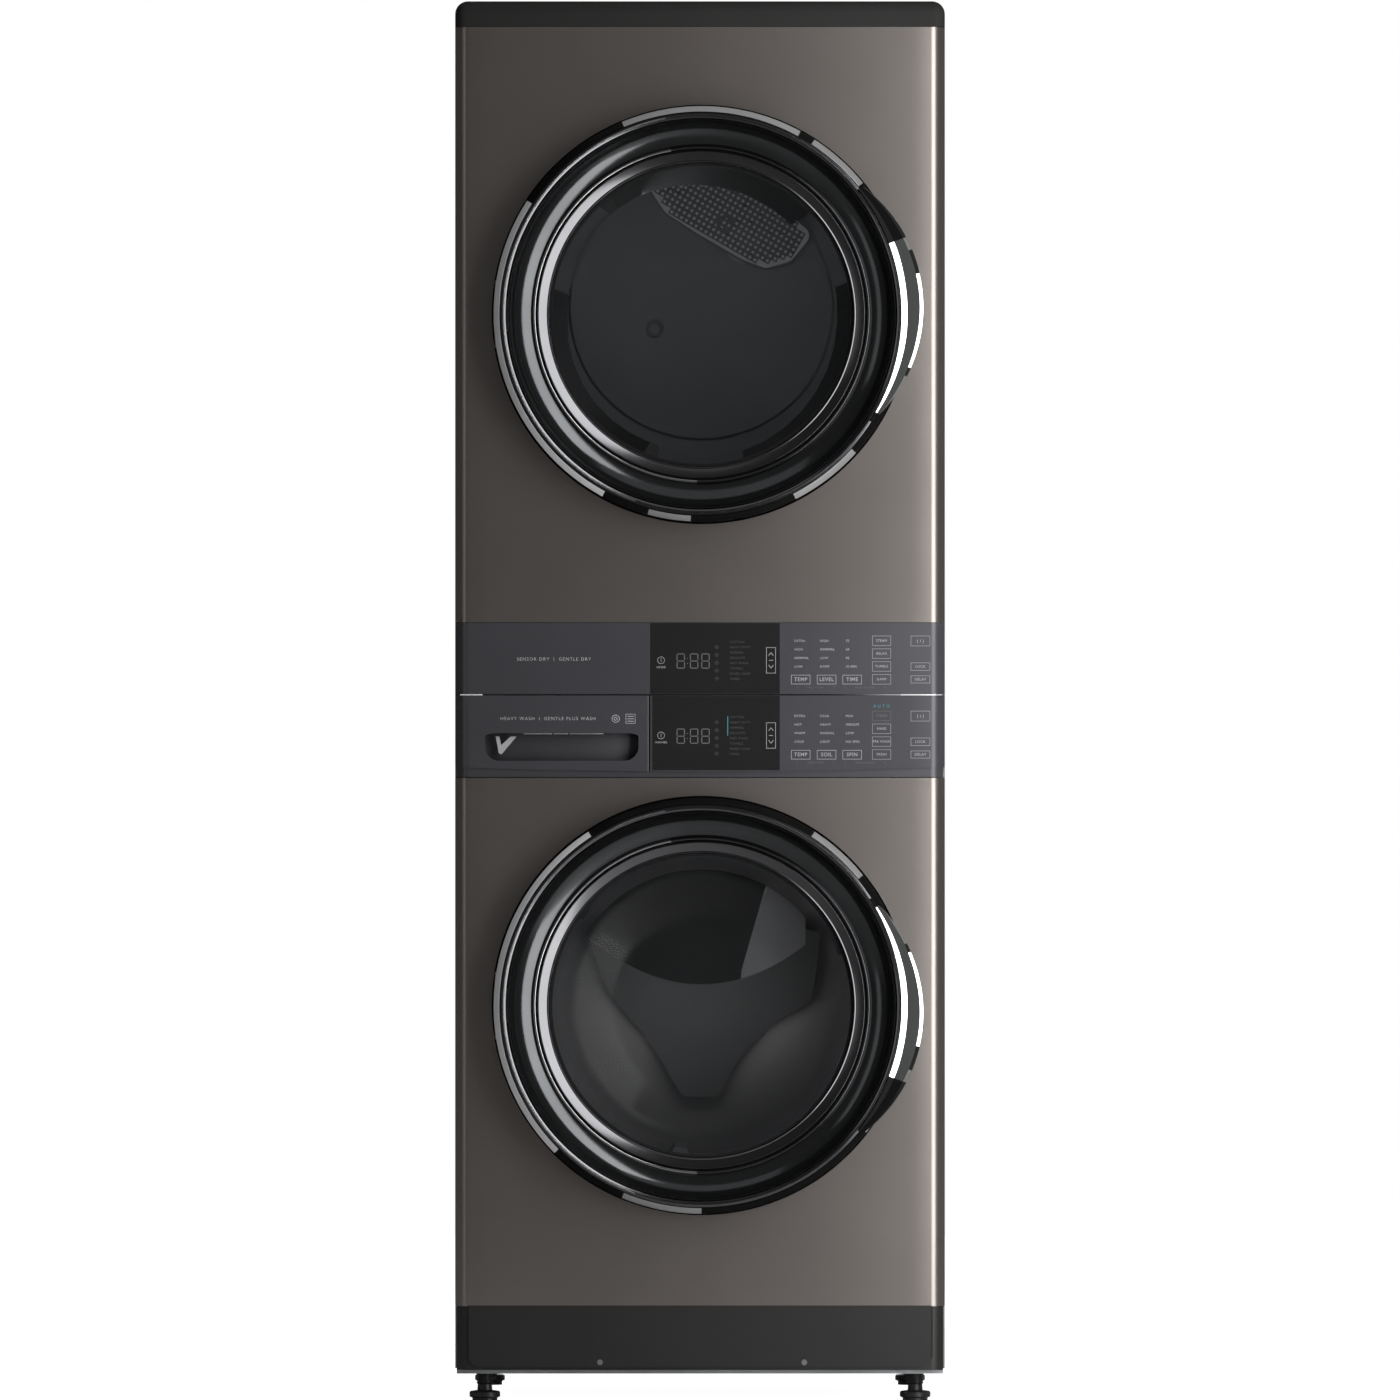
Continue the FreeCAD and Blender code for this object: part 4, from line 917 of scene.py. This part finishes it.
def grip(machine, centre, body, flip):
    """The crescent grip: bright inner bevel, dark face, black ends, and an outer edge whose bright middle
    stretch is a painted highlight.
    """
    bm = bmesh.new()
    x, y, z = centre
    loops = []
    angles = spread(GRIP_START, GRIP_END, GRIP_STEPS)
    for angle in angles:
        swing = math.radians(angle - GRIP_LEAN)
        outer = GRIP_SHIFT * math.cos(swing) + math.sqrt(GRIP_RADIUS**2 - (GRIP_SHIFT * math.sin(swing)) ** 2)
        outer = max(outer, GRIP_INNER + 2.5)
        bevel = min(8.0, (outer - GRIP_INNER) * 0.28)
        edge = bevel * 0.72
        low = 41.5 if outer > 292 else 56.0
        section = [
            (GRIP_INNER, 57.5), (GRIP_INNER, 61.4),
            (GRIP_INNER + 0.6, 61.9), (GRIP_INNER + 0.6 + bevel, 61.9 - bevel * 0.3),
            (GRIP_INNER + 1.0 + bevel, 59.4), (outer - edge, 59.2),
            (outer - edge + 0.5, 58.8), (outer - 0.6, 58.8 - edge * 0.3),
            (outer, 55.5), (outer - 0.6, low),
            (max(outer - 8, min(RING_EDGE, outer - 1.2)), low),
            (max(min(RING_EDGE, outer - 1.4), GRIP_INNER + 1.2), 57.5),
        ]
        a = math.radians(angle * flip)
        loops.append([bm.verts.new((x + r * math.cos(a), y - f, z + r * math.sin(a))) for r, f in section])
    for k, (one, two) in enumerate(zip(loops, loops[1:])):
        for i, face in enumerate(bridge(bm, one, two)):
            face.material_index = grip_finish_and_glint(i, (angles[k] + angles[k + 1]) / 2)
    for loop in (loops[0], loops[-1]):
        bm.faces.new(loop).material_index = 2
    keys = ["chrome", "grip_face", "black_gloss"]
    piece(f"{body}_grip", bm, keys, body, [f"{machine}_door_handle"], GRIP_SHARP)


def grip_finish_and_glint(edge, angle):
    """Which finish a strip of the grip has: 0 bright, 1 satin face, 2 black; on the outer edge the bright
    stretch and the black just beside it are a painted highlight.
    """
    if angle > 20.5 or angle < -29.5:
        return 2
    if edge in (1, 2):
        return 0
    if edge == 3:
        return 2
    # Painted highlight on the outer edge: bright between -14.5 and 10.5 degrees, black just beside it.
    if edge in (6, 7):
        if -14.5 < angle < 10.5:
            return 0
        return 2 if -16.8 < angle < 16.8 else 1
    return 1


WINDOW_RADIUS = 214.5


def windows():
    """The dryer's flat window, and the washer's bowl with the dark visor moulded behind its upper half."""
    rim = WINDOW_RADIUS
    pane = soften([(0, 0.9, 0), (rim, 0.9, 0.6), (rim, -4, 0.6), (0, -4, 0)], 3)
    outer = soften([(rim, 0.9, 0), (199, 0.9, 6), (188, -52, 30), (120, -80, 60), (0, -86, 0)], 12)
    inner = soften([(0, -92, 0), (124, -86, 60), (194, -58, 34), (204.5, -4, 4), (rim, -4, 0)], 12)
    for machine, name, line, key in (
        ("dryer", "dryer_window", pane, "window"),
        ("washer", "washer_bowl", outer + inner, "bowl"),
    ):
        body = f"{machine}_door"
        lathe(name, line, door_centre(machine), [key], body, [f"{body}_glass"])

    def depth(u, v):
        """How far back the bowl's drum side is at a point beside the door's axis."""
        radius = math.hypot(u, v)
        for (r1, f1), (r2, f2) in zip(inner, inner[1:]):
            if r1 <= radius <= r2:
                return f1 + (f2 - f1) * (radius - r1) / max(r2 - r1, 1e-6)
        return inner[-1][1]

    def smile(u):
        return 28 + 0.0026 * u * u

    def arc(u):
        return math.sqrt(190.0**2 - u * u)

    def brink(u):
        return 43 + (u - 55) * 3.51

    dark = [(u, smile(u), arc(u)) for u in spread(-162, 55, 56)]
    dark += [(u, brink(u), arc(u)) for u in spread(56, 91, 12)]
    # The pale facet is the visor's slanted face, painted pale as the light it catches.
    lit_facet = [(u, smile(u), min(brink(u), arc(u))) for u in spread(56.5, 146, 28)]
    for name, columns, key in (
        ("washer_bowl_visor", dark, "visor"),
        ("washer_bowl_painted_lit_facet", lit_facet, "visor_painted_lit_facet"),
    ):
        shell_piece(name, columns, depth, door_centre("washer"), key)


def spread(low, high, count):
    return [low + (high - low) * i / count for i in range(count + 1)]


def shell_piece(name, columns, depth, centre, key, rows=24):
    """A thin plate behind the bowl: columns of (u, lowest v, highest v), at the depth of the bowl's back."""
    bm = bmesh.new()
    x, y, z = centre
    sheets = []
    for gap in (0.4, 2.2):
        sheet = []
        for u, low, high in columns:
            heights = spread(low, high, rows)
            sheet.append([bm.verts.new((x + u, y - depth(u, v) + gap, z + v)) for v in heights])
        sheets.append(sheet)
    front, back = sheets
    last = len(columns) - 1
    for i in range(last):
        for j in range(rows):
            for sheet in sheets:
                bm.faces.new((sheet[i][j], sheet[i + 1][j], sheet[i + 1][j + 1], sheet[i][j + 1]))
        for j in (0, rows):
            bm.faces.new((front[i][j], front[i + 1][j], back[i + 1][j], back[i][j]))
    for i in (0, last):
        for j in range(rows):
            bm.faces.new((front[i][j], front[i][j + 1], back[i][j + 1], back[i][j]))
    piece(name, bm, [key], "washer_door")


SHIELD_REACH = 62.0
SHIELD_THICK = 2.0


def washer_inside():
    """The shield shape seen through the bowl: a plate ahead of the wash drum's back wall, clear of it."""
    x, _, z = door_centre("washer")
    face_y = corner_mm("washer_drum")[1][1] - SHIELD_REACH
    left = [(-165, 96, 0), (-130, 4, 40), (-75, -58, 30), (-27, -138, 8), (24, -138, 8)]
    right = [(52, -86, 30), (96, -38, 40), (158, 0, 20), (170, 96, 0), (60, 120, 60), (-60, 120, 60)]
    y1 = face_y + SHIELD_THICK
    look = ("drum_back", "wash_drum")
    plate("washer_drum_shield", closed(left + right), x, z, face_y, y1, *look, slot="drum_steel")


# -------- seen through the dryer's window


DISC_LIFT = 24


def dryer_inside():
    """Perforated air grille and a ring boss on the fixed back wall of the dryer."""
    x, _, z = door_centre("dryer")
    low, high = corner_mm("dryer_air_grille")
    face_y = low[1] - 1.0
    z += DISC_LIFT
    left_end = [(-10, 183, 0), (-44, 178, 60), (-76, 172, 8), (-52, 136, 20), (-6, 106, 60)]
    right_end = [(58, 69, 60), (92, 56, 16), (128, 66, 24), (160, 104, 14), (104, 153, 90), (44, 182, 90)]
    outline = closed(left_end + right_end, 8)
    look = ("grille_light", "cabinet", ["dryer_air_grille"], "grey_plastic")
    plate("dryer_grille_back", outline, x, z, face_y + 1.2, face_y + 3.0, *look)
    bm = bmesh.new()
    pitch = 8.1
    tilt = math.radians(-30)
    reach = range(-32, 33)
    corners = [Vector(p) for p in outline]
    for i in reach:
        for j in reach:
            u = pitch * (i * math.cos(tilt) - j * math.sin(tilt))
            v = pitch * (i * math.sin(tilt) + j * math.cos(tilt))
            if inside(u, v, corners):
                cell_into(bm, x + u, z + v, pitch, tilt, 2.35, face_y, face_y + 1.0)
    bmesh.ops.remove_doubles(bm, verts=bm.verts, dist=0.01)
    piece("dryer_grille_mesh", bm, ["grille_dark"], "cabinet")
    bm = bmesh.new()
    rim_into(bm, outline, x, z, face_y - 1.6, face_y + 3.0, 3.4)
    piece("dryer_grille_rim", bm, ["grille_dark"], "cabinet")
    bm = bmesh.new()
    for u, v, radius in ((-66, -30, 12.5), (34, 120, 12.5)):
        bore = radius - 4.4
        ends = [(radius, -4), (radius, 2), (radius - 1, 3), (bore + 1, 3), (bore, 2), (bore, -4)]
        lathe_into(bm, ends, (x + u, face_y + 1, z + v), segments=48)
    piece("dryer_wall_bosses", bm, ["grille_dark"], "cabinet")


def inside(u, v, corners):
    """Whether a point lies in an outline, with a small margin."""
    hit = False
    for a, b in zip(corners, corners[1:] + corners[:1]):
        if (a.y > v) != (b.y > v) and u < (b.x - a.x) * (v - a.y) / (b.y - a.y) + a.x:
            hit = not hit
        edge = b - a
        along = max(0.0, min(1.0, (Vector((u, v)) - a).dot(edge) / max(edge.length_squared, 1e-9)))
        if (a + edge * along - Vector((u, v))).length < 5.2:
            return False
    return hit


def cell_into(bm, x, z, pitch, tilt, hole, y0, y1):
    """A square tile with a round hole."""
    sides = 12
    loops = []
    for y in (y0, y1):
        square = []
        circle = []
        for k in range(sides):
            angle = 2 * math.pi * (k + 0.5) / sides
            reach = pitch / 2 / max(abs(math.cos(angle)), abs(math.sin(angle)))
            for radius, ring in ((reach, square), (hole, circle)):
                u, v = radius * math.cos(angle), radius * math.sin(angle)
                right = u * math.cos(tilt) - v * math.sin(tilt)
                up = u * math.sin(tilt) + v * math.cos(tilt)
                ring.append(bm.verts.new((x + right, y, z + up)))
        loops.append((square, circle))
    (square, circle), (back_square, back_circle) = loops
    walls = [square, circle, back_circle, back_square]
    for one, two in zip(walls, walls[1:] + walls[:1]):
        bridge(bm, one, two)


def prism_into(bm, outline, x, z, y0, y1):
    """A flat plate with the given outline round (x, z)."""
    front = [bm.verts.new((x + u, y0, z + v)) for u, v in outline]
    back = [bm.verts.new((x + u, y1, z + v)) for u, v in outline]
    bm.faces.new(front)
    bm.faces.new(back)
    bridge(bm, front, back)


def plate(name, outline, x, z, y0, y1, key, body, replaced=(), slot=None):
    bm = bmesh.new()
    prism_into(bm, outline, x, z, y0, y1)
    piece(name, bm, [key], body, replaced)


def rim_into(bm, outline, x, z, y0, y1, width):
    """A wall round an outline."""
    count = len(outline)
    outer = []
    for i, (u, v) in enumerate(outline):
        a = Vector(outline[i - 1])
        b = Vector(outline[(i + 1) % count])
        along = (b - a).normalized()
        outer.append((u + along.y * width, v - along.x * width))
    loops = []
    for line, y in ((outline, y0), (outline, y1), (outer, y1), (outer, y0)):
        loops.append([bm.verts.new((x + u, y, z + v)) for u, v in line])
    for one, two in zip(loops, loops[1:] + loops[:1]):
        bridge(bm, one, two)


# -------- feet


THREAD_PITCH = 3


def foot(corner):
    """A levelling foot: pad, round collar, and a stem with visible thread."""
    node = f"leveling_foot_{corner}"
    low, high = corner_mm(node)
    x, y = (low[0] + high[0]) / 2, (low[1] + high[1]) / 2
    profile = [(0, 0), (17.5, 0), (17.5, 5), (21.5, 7), (21.5, 13), (20, 14.5), (10.5, 16), (10, 24)]
    for base in range(25, 80, THREAD_PITCH):
        profile += [(10.6, base), (11.9, base + 0.9), (11.9, base + 1.5), (10.6, base + 2.4)]
    profile += [(10.6, 82), (0, 82)]
    bm = bmesh.new()
    lathe_into(bm, profile, (0, 0, 0), segments=64)
    bmesh.ops.rotate(bm, matrix=Matrix.Rotation(-math.pi / 2, 3, "X"), verts=bm.verts)
    bmesh.ops.translate(bm, vec=(x, y, 0), verts=bm.verts)
    piece(node + "_body", bm, ["foot_black"], "foot_" + corner, [node])


CAD_FINISHES = {
    "titanium": ["left_side_panel", "right_side_panel"],
    "galvanised": ["base_frame", "rear_panels", "middle_shelf", "heater_housing", "exhaust_duct"],
    "bulkhead": ["dryer_rear_bulkhead", "dryer_front_bulkhead"],
    "drum": ["washer_drum"],
    "steel": [
        "dryer_drum", "panel_screws", "door_hardware", "dryer_door_hinge",
        "washer_door_hinge", "dryer_motor_rotor", "washer_drum_shaft", "tub_springs",
        "damper_rods", "damper_cylinders", "dryer_motor", "washer_motor_stator",
    ],
    "liner": ["dryer_door_liner", "washer_door_liner"],
    "vane": ["dryer_drum_vanes"],
    "seal": ["door_gasket"],
    "rubber": ["dryer_belt", "drum_roller_left", "drum_roller_right"],
    "white_plastic": ["dispenser_housing", "drain_pump", "water_connections", "blower_housing", "washer_tub"],
    "grey_plastic": ["lint_filter", "washer_drum_lifters"],
    "casting": ["counterweights"],
}


def dress_cad():
    """Give every CAD node that stays in view its procedural finish."""
    for key, names in CAD_FINISHES.items():
        for name in names:
            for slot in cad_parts[name].material_slots:
                slot.material = MATERIALS[key]


# -------- stage


FLOOR_HALF = 7
FLOOR_GLOW = 0.97
SKY_LIGHT = 0.09
SKY_SEEN = 1.0
MIDDLE = (0, -0.35, 1.0)
# Each softbox's place, aim, width, height and watts.
SOFTBOXES = {
    "key": ((0.82, -1.24, 1.36), (0.34, -0.35, 1.36), 0.62, 2.8, 29),
    "left_fill": ((-2.6, -2.2, 1.3), MIDDLE, 0.6, 2.6, 3.6),
    "overhead": ((0, -0.6, 4.2), (0, 0, 0), 3.5, 3.5, 15),
    "back_fill": ((0, 3.4, 2.2), (0, 0, 1), 2.5, 2.5, 40),
}
# Each drum lamp's height above the door's axis, and watts.
DRUM_LAMPS = {"dryer": (0.13, 0.27), "washer": (0.0, 0.065)}
DRUM_LAMP_SPREAD = math.radians(150)


def softbox(name, place, aim, width, height, power):
    data = bpy.data.lights.new(name, "AREA")
    data.shape = "RECTANGLE"
    data.size = width
    data.size_y = height
    data.energy = power
    lamp = add_object(name, data)
    lamp.location = place
    lamp.rotation_euler = (Vector(aim) - Vector(place)).to_track_quat("-Z", "Y").to_euler()
    return lamp


def seen_mix(tree, unseen, seen):
    """One shader for the light that reaches the object, and another for what the camera sees."""
    path = tree.nodes.new("ShaderNodeLightPath")
    mix = tree.nodes.new("ShaderNodeMixShader")
    tree.links.new(path.outputs["Is Camera Ray"], mix.inputs["Fac"])
    tree.links.new(unseen.outputs[0], mix.inputs[1])
    tree.links.new(seen.outputs[0], mix.inputs[2])
    return mix.outputs["Shader"]


def stage():
    """Pale floor, white surroundings that light little, softboxes, and a small lamp in each drum."""
    bm = bmesh.new()
    bmesh.ops.create_grid(bm, x_segments=2, y_segments=2, size=FLOOR_HALF)
    floor = add_object("floor", to_mesh("floor", bm))
    pale = Nodes("pale_floor")
    cloud = pale.noise(2.0, 2.0)
    pale.link(pale.ramp(cloud, (0.80, 0.80, 0.80), (0.84, 0.84, 0.84)), pale.shader.inputs["Base Color"])
    pale.set(Roughness=0.9)
    blank, glow = (pale.add("ShaderNodeEmission", Strength=strength) for strength in (0.0, FLOOR_GLOW))
    both = pale.add("ShaderNodeAddShader")
    pale.link(pale.shader.outputs["BSDF"], both.inputs[0])
    pale.link(seen_mix(pale.tree, blank, glow), both.inputs[1])
    pale.link(both.outputs["Shader"], pale.tree.nodes["Material Output"].inputs["Surface"])
    floor.data.materials.append(pale.material)

    world = bpy.data.worlds.new("studio")
    bpy.context.scene.world = world
    world.use_nodes = True
    tree = world.node_tree
    tree.nodes.clear()
    skies = []
    for strength in (SKY_LIGHT, SKY_SEEN):
        sky = tree.nodes.new("ShaderNodeBackground")
        sky.inputs["Strength"].default_value = strength
        sky.inputs["Color"].default_value = (1, 1, 1, 1)
        skies.append(sky)
    out = tree.nodes.new("ShaderNodeOutputWorld")
    tree.links.new(seen_mix(tree, *skies), out.inputs["Surface"])

    for name, row in SOFTBOXES.items():
        softbox(name, *row)
    for machine, (lift, power) in DRUM_LAMPS.items():
        x, _, z = door_centre(machine)
        place, aim = (x * MM, -0.2, z * MM + lift), (x * MM, 0.2, z * MM)
        lamp = softbox(f"{machine}_lamp", place, aim, 0.20, 0.10, power)
        lamp.data.spread = DRUM_LAMP_SPREAD


def camera():
    """A long lens, level with the middle of the tower, that frames it from top to floor."""
    distance = 24.0
    frame_height = 1.96
    sensor = 36
    data = bpy.data.cameras.new("camera")
    data.sensor_width = sensor
    data.clip_end = 200
    data.lens = sensor * (distance + FRONT * MM) / frame_height
    view = add_object("camera", data)
    view.location = (0, -distance, 0.9842)
    view.rotation_euler = (math.pi / 2, 0, 0)
    bpy.context.scene.camera = view


dress_cad()
fronts()
toe()
top()
dryer_top, washer_top = consoles()
drawer()
controls("dryer", dryer_top, 0)
controls("washer", washer_top, 3.4)
door("dryer", 1)
door("washer", -1)
windows()
dryer_inside()
washer_inside()
for corner in ("front_left", "front_right", "rear_left", "rear_right"):
    foot(corner)
stage()
camera()
bpy.context.scene.view_settings.view_transform = "Standard"
